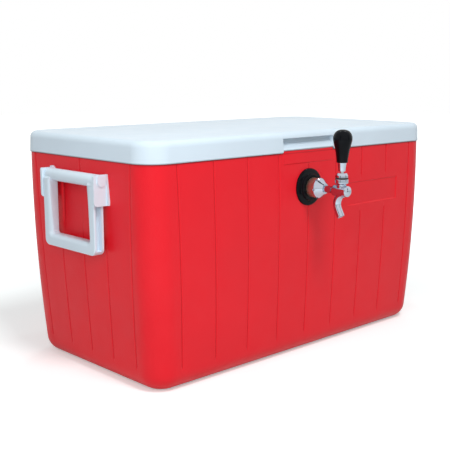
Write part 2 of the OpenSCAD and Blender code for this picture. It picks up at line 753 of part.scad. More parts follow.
module hinge_leaf_screws() {
    color(steel) screw_set(body_width / 2 + lid_overhang + 0.2 + leaf_thick, leaf_screw_z);
}

// ---- Drain in the right-hand end ----

drain_bore = 9;
drain_tube_radius = 12.6;
drain_thread_end = drain_face + 17;
drain_tube_in = 11;                // how far the spout reaches into the tub past its seat
drain_collar = [18, 2.6];          // radius and thickness of the spout's collar
drain_gasket_thick = 1.2;
drain_axis = [drain_y, drain_height];

module drain_spout() {
    color(white) difference() {
        union() {
            x_rod(drain_tube_radius, tub_drain_face - drain_tube_in,
                drain_thread_end - tub_drain_face + drain_tube_in, drain_axis);
            x_rod(drain_collar[0], drain_face + drain_gasket_thick, drain_collar[1], drain_axis);
        }
        x_rod(drain_bore, tub_drain_face - 20, 120, drain_axis);
    }
}
module drain_gasket() {
    color(black) difference() {
        x_rod(17.5, drain_face, drain_gasket_thick, drain_axis);
        x_rod(drain_tube_radius, drain_face - 1, 4, drain_axis);
    }
}
module drain_lock_nut() {
    collar = 2.5;
    nut = 8;
    color(white) difference() {
        union() {
            x_rod(16.4, tub_drain_face - collar, collar, drain_axis);
            x_rod(16, tub_drain_face - collar - nut + 0.5, nut, drain_axis, 8);
        }
        x_rod(drain_tube_radius + thread_clear, tub_drain_face - 20, 30, drain_axis);
    }
}
cap_skirt = 13;
cap_top = 2.4;
cap_radius = 16;
cap_face = drain_thread_end + 1.4;         // inner face of the cap's top
module drain_cap() {
    start = cap_face - cap_skirt + cap_top;
    color(white) difference() {
        union() {
            x_rod(cap_radius, start, cap_skirt, drain_axis);
            // finger ribs
            for (a = [0:30:330])
                translate([start, drain_y, drain_height]) rotate([a, 0, 0])
                    translate([0, 0, cap_radius - 0.4]) rotate([0, 90, 0])
                    cylinder(r = 1.5, h = cap_skirt - 1, $fn = 16);
        }
        x_rod(drain_tube_radius + hole_clear, cap_face - 30, 30, drain_axis);
    }
}
module drain_cap_seal() {
    color(black) difference() {
        x_rod(drain_tube_radius, drain_thread_end + 0.1, 1.2, drain_axis);
        x_rod(6, drain_thread_end - 1, 4, drain_axis);
    }
}
// ---- Tap: every distance runs out from its wall seat, and the tap points along -Y ----

flange_out = 9;                    // thickness of the wall flange at its middle
collar_out = 14;                   // face of the shank's brass collar
nose_out = 20;                     // front face of the shank's threaded nose
gasket_thick = 1.3;
tail_rear = nose_out + gasket_thick;
tail_out = 25;                     // front face of the tap body's tail
nut_out = 36;                      // front of the coupling nut
collar_radius = 15.5;
nose_bore = 8.2;                   // the valve seal's room in the shank's nose
flow_radius = 3.4;
nose_radius = 14.2;
nut_gap = 0.4;                     // between the brass collar and the coupling nut
nut_radius = 16.6;
tail_radius = 12;
neck_radius = 5.6;
pivot_out = 68;                    // the lever's upright axis
barrel_radius = 8.8;
barrel_rear = 54;
barrel_front = 79.5;
ball_height = 19.5;                // ball centre above the tap's axis
ball_radius = 7.4;
seat_top = 19.2;                   // top of the tap body's round head
washer_thick = 1;
head_radius = 10.5;
head_low = 12;
shaft_radius = 2.4;
guide_radius = 5.5;
guide_from = 63.2;                 // the shaft's guide, front and rear ends
guide_to = 76.4;
tongue_radius = 1.8;
tongue_clear = 0.4;
lever_pull = 20;                   // the lever's swing in degrees
shaft_travel = ball_height * sin(lever_pull);
tongue_across = tongue_radius / cos(lever_pull) + tongue_clear;    // half a slot round the leaning tongue
// Rear edge of the swinging tongue at a height above the tap's axis
function tongue_edge(height) = (ball_height - height) * tan(lever_pull) + tongue_across;

function out(d) = -tap_wall - d;

module wall_flange() {
    color(black) difference() {
        y_turned(concat(
            [[0, 0], [flange_diameter / 2, 0], [flange_diameter / 2, 1.6]],
            [for (a = [0:30:90]) [flange_diameter / 2 - 2.4 + 2.4 * cos(a), 1.6 + 2.4 * sin(a)]],
            [[22.6, 4.4], [21.8, 5.2]],
            [for (a = [0:30:90]) [21.6 - 2 + 2 * cos(a), flange_out - 2 + 2 * sin(a)]],
            [[0, flange_out]]), -tap_wall, [0, tap_height]);
        y_rod(shank_radius + 0.1, out(flange_out + 1), flange_out + 2, [0, tap_height]);
    }
}
shank_inner_end = tub_tap_face - 15;   // how near the middle of the tub the shank reaches
module tap_shank() {
    color(brass) difference() {
        union() {
            y_rod(shank_radius, out(flange_out + 1), -shank_inner_end - out(flange_out + 1), [0, tap_height]);
            y_rod(collar_radius, out(collar_out), collar_out - flange_out, [0, tap_height]);
            y_rod(nose_radius, out(nose_out), nose_out - collar_out + 1, [0, tap_height]);
        }
        y_rod(nose_bore, out(nose_out + 1), 15, [0, tap_height]);
        y_rod(flow_radius, out(nose_out), 120, [0, tap_height], 32);
    }
}
module shank_washer() {
    color(black) difference() {
        y_rod(17, -tub_tap_face, 2, [0, tap_height]);
        y_rod(shank_radius + 0.05, -tub_tap_face - 1, 4, [0, tap_height]);
    }
}
module shank_lock_nut() {
    color(brass) difference() {
        y_rod(18.5, -tub_tap_face + 2, 7, [0, tap_height], 6);
        y_rod(shank_radius + thread_clear, -tub_tap_face, 12, [0, tap_height]);
    }
}
module tap_gasket() {
    color(black) difference() {
        y_rod(tail_radius, out(tail_rear), gasket_thick, [0, tap_height]);
        y_rod(nose_bore, out(tail_rear + 1), 5, [0, tap_height]);
    }
}
module coupling_nut() {
    length = nut_out - collar_out - nut_gap;
    color(chrome) difference() {
        y_turned([[0, 0], [nut_radius - 0.8, 0], [nut_radius, 0.8], [nut_radius, 8.6], [nut_radius - 1, 10.6],
            [14, 12.2], [9.4, length - 2.6], [8.8, length - 0.8], [8, length], [0, length]],
            out(collar_out + nut_gap), [0, tap_height]);
        y_rod(nose_radius + 0.05, out(tail_rear), 40, [0, tap_height]);
        y_rod(tail_radius + 0.1, out(tail_out), 40, [0, tap_height]);
        y_rod(neck_radius + 0.4, out(nut_out + 5), 40, [0, tap_height], 32);
        for (a = [25:60:355])
            translate([0, out(collar_out + 5.4), tap_height]) rotate([0, a, 0])
                translate([0, 0, nose_radius + 0.9]) cylinder(r = 1.7, h = 4, $fn = 24);
    }
}

spout_bend = 18;                   // radius of the spout's bend
spout_back = 72;                   // the bend runs on up into the barrel by this angle
spout_lean = 28;                   // how far its outlet leans forward
spout_straight = 13;
spout_rear_y = out(60);            // the rearmost point of the bend's centre line
spout_bend_z = tap_height - 21;
spout_centre_y = spout_rear_y - spout_bend;

// A tube along the spout's centre line
module spout_path(radius, outlet_over) {
    translate([0, spout_centre_y, spout_bend_z]) rotate([90, 0, 90]) {
        rotate([0, 0, -spout_lean]) rotate_extrude(angle = spout_lean + spout_back, $fn = 96)
            translate([spout_bend, 0]) circle(r = radius, $fn = 48);
        rotate([0, 0, -spout_lean]) translate([spout_bend, 0, 0]) rotate([90, 0, 0])
            cylinder(r = radius, h = spout_straight + outlet_over, $fn = 48);
    }
}
module tap_body() {
    color(chrome) difference() {
        union() {
            // tail, neck and barrel with a rounded front, turned in one
            y_turned(concat(
                [[0, 0], [tail_radius, 0], [tail_radius, tail_out - tail_rear],
                    [neck_radius, tail_out - tail_rear], [neck_radius, barrel_rear - tail_rear - 4.5],
                    [barrel_radius - 1, barrel_rear - tail_rear - 0.6],
                    [barrel_radius, barrel_rear - tail_rear]],
                [for (a = [0:15:90]) [barrel_radius * cos(a), barrel_front - tail_rear + 4 * sin(a)]]),
                out(tail_rear), [0, tap_height]);
            // upright stub and its round head
            translate([0, out(pivot_out), tap_height]) cylinder(r = 7.3, h = head_low + 2, $fn = round_fn);
            translate([0, out(pivot_out), tap_height + head_low]) rotate_extrude($fn = round_fn)
                polygon([[0, -1.6], [8, -1.2], [head_radius - 0.4, 0], [head_radius, 0.6],
                    [head_radius, seat_top - head_low], [0, seat_top - head_low]]);
            spout_path(spout_diameter / 2, 0);
        }
        // flow way: through the neck, into the barrel and out of the spout
        y_rod(3.5, out(barrel_rear + 3), barrel_rear + 3 - tail_rear + 1, [0, tap_height], 32);
        y_rod(guide_radius + 0.06, out(barrel_front - 1.6), barrel_front - 1.6 - barrel_rear - 1.4,
            [0, tap_height], 48);
        spout_path(spout_bore / 2, 2);
        // ball seat and the slot that the lever's tongue swings in
        translate([0, out(pivot_out), tap_height + ball_height]) sphere(r = ball_radius + 0.35, $fn = 64);
        translate([0, out(pivot_out), tap_height]) rotate([90, 0, 90])
            linear_extrude(2 * (tongue_radius + tongue_clear), center = true) polygon([
                [-tongue_across, ball_height - 2], [tongue_edge(ball_height - 2), ball_height - 2],
                [tongue_edge(0), 0], [-tongue_across, 0]]);
    }
}
module ball_washer() {
    color(black) difference() {
        translate([0, out(pivot_out), tap_height + seat_top]) cylinder(r = 9.9, h = washer_thick, $fn = 48);
        translate([0, out(pivot_out), tap_height + seat_top - 1])
            cylinder(r = ball_radius + 0.3, h = washer_thick + 2, $fn = 48);
    }
}
bonnet_low = seat_top + washer_thick;
bonnet_high = 28;
module bonnet() {
    translate([0, out(pivot_out), tap_height]) color(chrome) difference() {
        rotate_extrude($fn = round_fn) polygon([[0, bonnet_low], [9.2, bonnet_low], [9.7, bonnet_low + 0.5],
            [9.7, 24], [9.2, 25.4], [8.2, 27], [7.4, bonnet_high], [0, bonnet_high]]);
        translate([0, 0, ball_height]) sphere(r = ball_radius + 0.3, $fn = 64);
        cylinder(r = 6.5, h = 24, $fn = 48);
        translate([0, 0, 23.4]) cylinder(r = 6.5, h = 6, $fn = 48);
    }
}
ferrule_low = 30.5;
ferrule_high = 44;
module tap_lever() {
    translate([0, out(pivot_out), tap_height]) color(steel) {
        translate([0, 0, ball_height]) sphere(r = ball_radius, $fn = 64);
        translate([0, 0, ball_height]) cylinder(r = 2.9, h = ferrule_low - ball_height + 1, $fn = 32);
        translate([0, 0, ferrule_low]) cylinder(r = 4, h = ferrule_high - ferrule_low + 12, $fn = 32);
        translate([0, 0, -1.5]) cylinder(r = tongue_radius, h = ball_height, $fn = 32);
        translate([0, 0, -1.5]) sphere(r = tongue_radius, $fn = 32);
    }
}
module lever_ferrule() {
    translate([0, out(pivot_out), tap_height]) color(chrome) difference() {
        rotate_extrude($fn = round_fn) polygon([[0, ferrule_low], [4.6, ferrule_low],
            [5.4, ferrule_low + 0.8], [5.7, ferrule_low + 6], [6.9, ferrule_high - 0.6],
            [6.9, ferrule_high], [0, ferrule_high]]);
        translate([0, 0, ferrule_low - 1]) cylinder(r = 4.02, h = 30, $fn = 32);
    }
}
module tap_knob() {
    r = knob_diameter / 2;
    foot = 8.7;
    top = ferrule_high + knob_height;
    lean = asin((r - foot) / (knob_height - r)) * 0.9;
    translate([0, out(pivot_out), tap_height]) color(black) difference() {
        rotate_extrude($fn = round_fn) polygon(concat(
            [[0, ferrule_high], [foot - 0.8, ferrule_high], [foot, ferrule_high + 0.8]],
            [for (a = [-lean:10:80]) [r * cos(a), top - r + r * sin(a)]],
            [[0, top]]));
        translate([0, 0, ferrule_high - 1]) cylinder(r = 4.02, h = 14, $fn = 32);
    }
}
module valve_shaft() {
    color(steel) difference() {
        union() {
            y_rod(guide_radius, out(guide_to), guide_to - guide_from, [0, tap_height], 48);
            y_rod(shaft_radius, out(guide_from + 1), guide_from - tail_rear + 4.2, [0, tap_height], 32);
        }
        // slot for the lever's tongue, wide enough for it at either end of the travel
        slot_front = shaft_travel + 2 * tongue_across - tongue_edge(guide_radius);
        slot_rear = tongue_edge(0) - shaft_travel;
        translate([-guide_radius - 1, out(pivot_out) - slot_front, tap_height - 4.2])
            cube([2 * guide_radius + 2, slot_front + slot_rear, 12]);
    }
}
module valve_seal() {
    color(black) difference() {
        y_rod(6, out(tail_rear - 0.1), 3.2, [0, tap_height], 48);
        y_rod(shaft_radius, out(tail_rear + 1), 8, [0, tap_height], 32);
    }
}

// ---- Cooling coil and the fittings that join it to the tap and the inlet ----

coil_x = 130;
coil_low = tub_floor + coil_tube / 2 + 0.3;
coil_rise = tap_height - coil_low;
coil_pitch = coil_rise / coil_turns;
riser_bend = 20;
coil_rings = 24;                   // rings in one turn
riser_x = inlet_x;                 // the riser stands under the inlet's elbow
tap_hose_x = 30;                   // where the coil's upper end stops
riser_top = tap_height - 34;

function coil_point(t) =
    let (a = 90 - 360 * t)
    [coil_x + coil_radius * cos(a), coil_radius * sin(a), coil_low + coil_pitch * t];
function bend_point(a) =
    [riser_x + riser_bend * (1 - cos(a)), coil_radius, coil_low + riser_bend * (1 - sin(a))];
coil_route = concat(
    [[riser_x, coil_radius, riser_top], [riser_x, coil_radius, riser_top - coil_tube],
     [riser_x, coil_radius, 130]],
    [for (a = [0:18:90]) bend_point(a)],
    [for (i = [0:coil_turns * coil_rings]) coil_point(i / coil_rings)],
    [[coil_x - 24, -coil_radius, tap_height], [tap_hose_x + coil_tube, -coil_radius, tap_height],
     [tap_hose_x, -coil_radius, tap_height]]);

function unit(v) = v / norm(v);
// Sweep of a six-sided ring along a route, each ring square to the route's direction
function route_dir(p, i) =
    i == 0 ? unit(p[1] - p[0]) : i == len(p) - 1 ? unit(p[i] - p[i - 1])
    : unit(unit(p[i + 1] - p[i]) + unit(p[i] - p[i - 1]));
// Carry the frame along so that the rings don't twist against each other
function carried(side, dir) = unit(side - dir * (side * dir));
module swept_tube(route, radius, sides, start_side) {
    side = [for (i = 0, s = carried(start_side, route_dir(route, 0)); i < len(route);
        i = i + 1, s = i < len(route) ? carried(s, route_dir(route, i)) : s) s];
    points = [for (i = [0:len(route) - 1])
        let (d = route_dir(route, i), u = side[i], v = cross(d, u))
        for (k = [0:sides - 1]) route[i] + radius * (u * cos(360 * k / sides) + v * sin(360 * k / sides))];
    m = len(route);
    walls = [for (j = [0:m - 2]) for (k = [0:sides - 1])
        let (a = j * sides + k, b = j * sides + (k + 1) % sides)
        each [[a, a + sides, b + sides], [a, b + sides, b]]];
    cap_a = [for (k = [0:sides - 1]) k];
    cap_b = [for (k = [sides - 1:-1:0]) (m - 1) * sides + k];
    polyhedron(points, concat(walls, [cap_a], [cap_b]), convexity = 10);
}
// Least gap of the coil to itself, from the points of one turn to those of the turns above it
function route_gap(p) = min([for (i = [0:4:len(p) - 1]) for (j = [i + coil_rings / 2:1:min(len(p) - 1,
    i + 3 * coil_rings / 2)]) norm(p[i] - p[j])]) - coil_tube;

module cooling_coil() {
    echo(coil_self_gap = route_gap(coil_route), coil_turns = coil_turns);
    color(steel) swept_tube(coil_route, coil_tube / 2, 6, [0, 1, 0.2]);
}

hose_radius = 6.6;
hose_from = 14.2;                  // a hose starts this far from its elbow's middle
hose_grip = 12;                    // how far it goes over the coil's tube
barb_radius = 3.9;
elbow_radius = 4.6;
elbow_arm = 14;                    // from an elbow's middle to its barb
elbow_bore = 2.4;
elbow_y = coil_radius;

// Barbed elbow drawn for the tap: it comes from the shank along +Y and leaves along +X
module elbow(entry_from) {
    color(steel) difference() {
        union() {
            y_rod(8.6, entry_from, 2.5, [0, 0], 48);
            y_rod(elbow_radius, entry_from, -entry_from, [0, 0], 32);
            sphere(r = elbow_radius, $fn = 48);
            x_rod(elbow_radius, 0, elbow_arm, [0, 0], 32);
            x_rod(barb_radius, elbow_arm, 11, [0, 0], 32);
        }
        y_rod(elbow_bore, entry_from - 1, 1 - entry_from, [0, 0], 32);
        x_rod(elbow_bore, -elbow_bore / 2, 40, [0, 0], 32);
    }
}
elbow_entry = elbow_y - shank_inner_end;    // negative: the shank ends this far before the elbow
module tap_elbow() {
    translate([0, -elbow_y, tap_height]) elbow(elbow_entry + 0.1);
}
module tap_elbow_nut() {
    color(chrome) translate([0, -shank_inner_end, tap_height]) difference() {
        y_rod(14.4, -6, 10.6, [0, 0], 6);
        y_rod(shank_radius + thread_clear, -7, 9.8, [0, 0], 48);
        y_rod(4.8, -7, 20, [0, 0], 32);
    }
}
module tap_hose() {
    color(clear_hose) difference() {
        x_rod(hose_radius, hose_from, tap_hose_x + hose_grip - hose_from, [-coil_radius, tap_height], 48);
        x_rod(coil_tube / 2 + thread_clear, 10, 50, [-coil_radius, tap_height], 48);
    }
}
module inlet_elbow() {
    translate([inlet_x, elbow_y, tap_height]) rotate([0, 90, 180]) elbow(elbow_entry + 0.1);
}
module inlet_elbow_nut() {
    color(chrome) translate([inlet_x, shank_inner_end, tap_height]) difference() {
        y_rod(14.4, -4.6, 10.6, [0, 0], 6);
        y_rod(shank_radius + thread_clear, -2.8, 12, [0, 0], 48);
        y_rod(4.8, -10, 20, [0, 0], 32);
    }
}
module inlet_hose() {
    color(clear_hose) translate([riser_x, coil_radius, riser_top - hose_grip]) difference() {
        cylinder(r = hose_radius, h = tap_height - hose_from - riser_top + hose_grip, $fn = 48);
        translate([0, 0, -5]) cylinder(r = coil_tube / 2 + thread_clear, h = 60, $fn = 48);
    }
}
barb_clamp = 19.5;                 // from an elbow's middle to the clamp on its barb
module clamp_band() {
    difference() {
        union() {
            cylinder(r = hose_radius + 0.9, h = 6, center = true, $fn = 48);
            translate([hose_radius + 1.2, 0, 0]) cube([3.4, 5, 5.4], center = true);
        }
        cylinder(r = hose_radius + 0.05, h = 10, center = true, $fn = 48);
    }
}
module hose_clamps() {
    color(steel) {
        for (x = [barb_clamp, tap_hose_x + 6])
            translate([x, -coil_radius, tap_height]) rotate([0, 90, 0]) clamp_band();
        for (z = [riser_top - 6, tap_height - barb_clamp])
            translate([riser_x, coil_radius, z]) rotate([0, 0, 180]) clamp_band();
    }
}
inlet_axis = [inlet_x, tap_height];
inlet_gasket_thick = 1.5;
inlet_collar = inlet_wall + 6;             // outer face of the inlet's collar
inlet_end = inlet_collar + inlet_length;
module inlet_shank() {
    color(chrome) difference() {
        union() {
            y_rod(inlet_thread / 2, shank_inner_end, inlet_end - shank_inner_end, inlet_axis);
            y_rod(16, inlet_wall + inlet_gasket_thick, 6 - inlet_gasket_thick, inlet_axis);
        }
        y_rod(flow_radius, 0, 300, inlet_axis, 32);
        // the cone that seals on the keg line's tailpiece
        y_turned([[0, 0], [6, 0], [flow_radius, 4], [0, 4]], inlet_end + 0.01, inlet_axis);
    }
}
module inlet_gasket() {
    color(black) difference() {
        y_rod(15.5, inlet_wall, inlet_gasket_thick, inlet_axis);
        y_rod(inlet_thread / 2 + 0.05, inlet_wall - 1, 4, inlet_axis);
    }
}
module inlet_washer() {
    color(black) difference() {
        y_rod(17, tub_tap_face - 2, 2, inlet_axis);
        y_rod(inlet_thread / 2 + 0.05, tub_tap_face - 3, 4, inlet_axis);
    }
}
module inlet_lock_nut() {
    color(brass) difference() {
        y_rod(18.5, tub_tap_face - 9, 7, inlet_axis, 6);
        y_rod(inlet_thread / 2 + thread_clear, tub_tap_face - 12, 14, inlet_axis);
    }
}

outer_shell();
foam_core();
tub_liner();
bracket_left_front();
bracket_left_rear();
bracket_right_front();
bracket_right_rear();
hinge_base_left();
hinge_base_right();
hinge_pin_left();
hinge_pin_right();
hinge_base_screws();
drain_spout();
drain_gasket();
drain_lock_nut();
wall_flange();
tap_shank();
shank_washer();
shank_lock_nut();
tap_gasket();
coupling_nut();
tap_body();
ball_washer();
bonnet();
tap_elbow();
tap_elbow_nut();
tap_hose();
cooling_coil();
inlet_hose();
inlet_elbow();
inlet_elbow_nut();
inlet_shank();
inlet_gasket();
inlet_washer();
inlet_lock_nut();
hose_clamps();
lid_shell();
lid_foam();
lid_liner();
hinge_leaf_left();
hinge_leaf_right();
hinge_leaf_screws();
bail_handle_left();
bail_handle_right();
tap_lever();
lever_ferrule();
tap_knob();
valve_shaft();
valve_seal();
drain_cap();
drain_cap_seal();
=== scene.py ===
"""Looks of a jockey box: an insulated chest cooler with a beer tap on its front. Metres, +Z up, the tap faces -Y."""

import json
from math import cos, pi, radians, sin

import bpy
from bpy.props import FloatProperty, FloatVectorProperty, PointerProperty
from bpy.types import Operator, Panel, PropertyGroup
from mathutils import Matrix, Vector


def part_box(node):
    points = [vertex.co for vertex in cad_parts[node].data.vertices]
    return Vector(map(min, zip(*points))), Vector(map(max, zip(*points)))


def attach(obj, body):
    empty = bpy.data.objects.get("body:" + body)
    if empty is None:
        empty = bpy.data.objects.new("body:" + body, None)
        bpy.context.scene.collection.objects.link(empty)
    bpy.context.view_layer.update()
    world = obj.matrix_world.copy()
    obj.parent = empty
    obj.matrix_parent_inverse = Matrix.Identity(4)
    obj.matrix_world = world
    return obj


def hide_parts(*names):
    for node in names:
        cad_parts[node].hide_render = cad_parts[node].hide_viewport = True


bl_info = {
    "name": "Jockey box cooler",
    "version": (1, 0, 0),
    "blender": (4, 5, 0),
    "location": "3D View > Sidebar > Cooler",
    "description": "Models and finishes a chest cooler with a beer tap",
    "category": "Object",
}

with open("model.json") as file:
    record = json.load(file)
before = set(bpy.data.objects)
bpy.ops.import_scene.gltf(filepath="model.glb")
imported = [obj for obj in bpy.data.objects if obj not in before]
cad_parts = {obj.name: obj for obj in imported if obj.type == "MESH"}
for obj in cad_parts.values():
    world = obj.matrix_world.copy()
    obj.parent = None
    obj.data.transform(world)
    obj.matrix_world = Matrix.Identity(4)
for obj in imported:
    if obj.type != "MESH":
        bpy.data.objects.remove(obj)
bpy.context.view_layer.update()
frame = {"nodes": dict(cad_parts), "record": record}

MM = 0.001
LID_LOW, LID_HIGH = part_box("lid_shell")
FLANGE_LOW, FLANGE_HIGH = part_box("wall_flange")
BONNET_LOW, BONNET_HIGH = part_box("bonnet")
TAP_Z = (FLANGE_LOW.z + FLANGE_HIGH.z) / 2
TAP_WALL = FLANGE_HIGH.y
LEVER_Y = (BONNET_LOW.y + BONNET_HIGH.y) / 2


# ---- What a user would change ----


def length(name, text, default):
    return FloatProperty(name=name, description=text, default=default, unit="LENGTH", precision=4)


def colour(name, text, default):
    return FloatVectorProperty(
        name=name, description=text, default=default, size=4, subtype="COLOR", min=0, max=1
    )


class ChestSizes(PropertyGroup):
    body_length: length("Body length", "Length of the red body under the lid", 0.650)
    body_width: length("Body width", "Width of the red body under the lid", 0.326)
    rim_height: length("Rim height", "Height of the red body's rim", 0.333)
    corner_radius: length("Corner radius", "Radius of the upright corners", 0.038)
    base_radius: length("Base radius", "Radius where the walls turn into the base", 0.027)
    wall: length("Wall", "Thickness of the red shell", 0.003)
    side_pitch: length("Side pitch", "Spacing of the grooves on the long sides", 0.06865)
    end_pitch: length("End pitch", "Spacing of the grooves on the ends", 0.06135)
    groove_width: length("Groove width", "Width of an upright groove", 0.0034)
    groove_depth: length("Groove depth", "Depth of an upright groove", 0.0013)


class LidSizes(PropertyGroup):
    overhang: length("Overhang", "How far the skirt stands out past the body", 0.0018)
    edge_radius: length("Edge radius", "Radius of the rounded top edge", 0.0095)
    crown: length("Crown", "How much the middle stands above the edge", 0.002)
    grip_length: length("Grip length", "Length of the finger grip", 0.122)
    grip_depth: length("Grip depth", "Depth of the finger grip", 0.0096)


class Finishes(PropertyGroup):
    red: colour("Red", "The body's polyethylene", (0.84, 0.012, 0.024, 1))
    white: colour("White", "The lid's and handles' polyethylene", (0.70, 0.83, 0.93, 1))
    chrome: colour("Chrome", "The tap's plating", (0.52, 0.57, 0.66, 1))
    steel: colour("Steel", "Stainless tube, pins and screws", (0.62, 0.63, 0.65, 1))
    brass: colour("Brass", "The shank's collar", (0.56, 0.46, 0.36, 1))
    black: colour("Black", "Knob and wall flange", (0.003, 0.0035, 0.005, 1))
    foam: colour("Foam", "The insulation", (0.80, 0.70, 0.45, 1))
    hose: colour("Hose", "The milky hose", (0.70, 0.74, 0.72, 1))


class StageSettings(PropertyGroup):
    eye: FloatVectorProperty(
        name="Camera place", description="Where the camera stands", size=3,
        default=(-1.0293, -1.0607, 0.4589), subtype="TRANSLATION",
    )
    turn: FloatProperty(
        name="Camera turn", description="Heading of the camera, from +Y", default=radians(-43.30), subtype="ANGLE"
    )
    dip: FloatProperty(
        name="Camera dip", description="How far the camera looks down", default=radians(10.24), subtype="ANGLE"
    )
    lens: FloatProperty(name="Lens", description="Focal length on a 36 mm sensor", default=68.2, unit="CAMERA")
    key: FloatProperty(name="Key light", description="Power of the soft lamp above the tap in watts", default=25)
    fill: FloatProperty(name="Fill light", description="Power of the soft lamp on the left in watts", default=7.2)
    spots: FloatProperty(name="Overhead lamps", description="Power of each small lamp overhead in watts", default=2.2)
    sky: FloatProperty(name="Sky", description="Strength of the light from all round", default=0.34)


# ---- Shader graphs: sockets that take Python's operators ----


class Wire:
    """A shader value. Sums and products of wires and numbers become Math nodes."""

    def __init__(self, graph, socket):
        self.graph, self.socket = graph, socket

    def join(self, operation, first, second):
        return self.graph.node("ShaderNodeMath", {"operation": operation}, {0: first, 1: second})

    def __add__(self, other):
        return self.join("ADD", self, other)

    def __radd__(self, other):
        return self.join("ADD", other, self)

    def __mul__(self, other):
        return self.join("MULTIPLY", self, other)

    def __rmul__(self, other):
        return self.join("MULTIPLY", other, self)


class Graph:
    """The node tree of one material, or of the world."""

    def __init__(self, owner):
        self.material = owner
        owner.use_nodes = True
        self.tree = owner.node_tree
        self.shader = self.tree.nodes.get("Principled BSDF")
        if self.shader:
            self.place = self.node("ShaderNodeTexCoord", out="Object")

    def node(self, kind, settings=None, inputs=None, out=0):
        made = self.tree.nodes.new(kind)
        for key, value in (settings or {}).items():
            if key == "stops":
                for stop, (position, shade) in zip(made.color_ramp.elements, value):
                    stop.position, stop.color = position, shade
            else:
                setattr(made, key, value)
        for key, value in (inputs or {}).items():
            if isinstance(value, Wire):
                self.tree.links.new(value.socket, made.inputs[key])
            else:
                made.inputs[key].default_value = value
        return Wire(self, made.outputs[out]) if out is not None else None

    def noise(self, scale, detail=2.0, place=None):
        return self.node("ShaderNodeTexNoise", {}, {"Vector": place or self.place, "Scale": scale, "Detail": detail})

    def ramp(self, value, low, high, dark=0.0, bright=1.0):
        return self.node("ShaderNodeMapRange", {}, {0: value, 1: low, 2: high, 3: dark, 4: bright})

    def tint(self, factor, first, second):
        """A colour between two, by a factor."""
        return self.node(
            "ShaderNodeMix", {"data_type": "RGBA"}, {0: factor, 6: tuple(first), 7: tuple(second)}, out=2
        )

    def seen(self, mirrored=1.0):
        """1 for straight rays and the given share for those reflected or sent through glass."""
        straight, reflected, through = (
            self.node("ShaderNodeLightPath", out=f"Is {kind} Ray") for kind in ("Camera", "Glossy", "Transmission")
        )
        return self.node("ShaderNodeClamp", {}, {0: straight + mirrored * (reflected + through)})

    def set(self, **values):
        for key, value in values.items():
            socket = self.shader.inputs[key.replace("_", " ")]
            if isinstance(value, Wire):
                self.tree.links.new(value.socket, socket)
            else:
                socket.default_value = value
        return self

    def bump(self, height, strength, distance):
        return self.set(
            Normal=self.node("ShaderNodeBump", {}, {"Strength": strength, "Distance": distance, "Height": height})
        )


def shade(shade_colour, factor):
    return (*(min(1.0, part * factor) for part in shade_colour[:3]), 1.0)


def material(name):
    return Graph(bpy.data.materials.new(name))


# ---- Finishes ----


def moulded(name, base, grain, grain_height, rough, gloss):
    """Blow-moulded polyethylene: a fine pebble grain, slow changes of tone, and painted shade in its grooves, finger
    grip, handle pockets and seam strips.
    """
    graph = material(name)
    pebble = graph.node(
        "ShaderNodeTexVoronoi", {"feature": "SMOOTH_F1"}, {"Vector": graph.place, "Scale": grain, "Smoothness": 0.6}
    )
    fine = graph.noise(grain * 1.7, 3.0)
    tone = graph.tint(graph.ramp(graph.noise(7.0, 3.0), 0.3, 0.7), shade(base, 0.965), shade(base, 1.03))
    # Painted shade: each vertex's stored share blends the colour towards a quarter of its own.
    painted_shade = graph.node("ShaderNodeAttribute", {"attribute_name": PAINTED_SHADE_LAYER}, out="Fac")
    graph.set(
        Base_Color=graph.node(
            "ShaderNodeMix", {"data_type": "RGBA"}, {0: painted_shade, 6: tone, 7: shade(base, 0.25)}, out=2
        ),
        Roughness=graph.ramp(graph.noise(38.0, 4.0), 0.3, 0.7, rough - 0.05, rough + 0.06),
        Specular_IOR_Level=gloss,
    )
    return graph.bump(pebble * 0.7 + fine * 0.5, 0.5, grain_height).material


def plated(name, base, rough, smear):
    """Polished plating with a few faint smears."""
    graph = material(name)
    graph.set(
        Base_Color=graph.tint(graph.ramp(graph.noise(30.0), 0.35, 0.65), shade(base, 0.97), base),
        Metallic=1.0,
        Roughness=graph.ramp(graph.noise(120.0, 4.0), 0.45, 0.75, rough, rough + smear),
    )
    return graph.material


def drawn(name, base, rough, spread):
    """Drawn or turned metal with fine tool marks."""
    graph = material(name)
    marks = graph.noise(900.0, 2.0)
    graph.set(
        Base_Color=graph.tint(graph.ramp(graph.noise(60.0), 0.3, 0.7), shade(base, 0.9), shade(base, 1.05)),
        Metallic=1.0,
        Roughness=graph.ramp(marks, 0.3, 0.7, rough, rough + spread),
    )
    return graph.bump(marks, 0.15, 0.00004).material


def glossy(name, base):
    """Polished black plastic with hairline marks in its gloss."""
    graph = material(name)
    graph.set(
        Base_Color=graph.tint(graph.ramp(graph.noise(50.0), 0.3, 0.7), base, shade(base, 1.5)),
        Roughness=graph.ramp(graph.noise(260.0, 4.0), 0.5, 0.8, 0.07, 0.16),
        Specular_IOR_Level=0.1,
    )
    return graph.material


def rubbery(name, base):
    """Dull moulded rubber with bloom."""
    graph = material(name)
    bloom = graph.noise(160.0, 4.0)
    graph.set(
        Base_Color=graph.tint(graph.ramp(bloom, 0.4, 0.8), base, shade(base, 2.2)),
        Roughness=graph.ramp(bloom, 0.3, 0.7, 0.6, 0.8),
    )
    return graph.bump(bloom, 0.3, 0.0001).material


def cellular(name, base):
    """Cut foam with open cells."""
    graph = material(name)
    cells = graph.node("ShaderNodeTexVoronoi", {}, {"Vector": graph.place, "Scale": 700.0})
    graph.set(Base_Color=graph.tint(cells, shade(base, 0.8), base), Roughness=0.9)
    return graph.bump(cells, 0.6, 0.0006).material


def milky(name, base):
    """Milky hose with slow changes of tone."""
    graph = material(name)
    graph.set(
        Base_Color=graph.tint(graph.ramp(graph.noise(90.0), 0.3, 0.7), shade(base, 0.93), base),
        Roughness=graph.ramp(graph.noise(200.0), 0.3, 0.7, 0.18, 0.3),
    )
    return graph.material


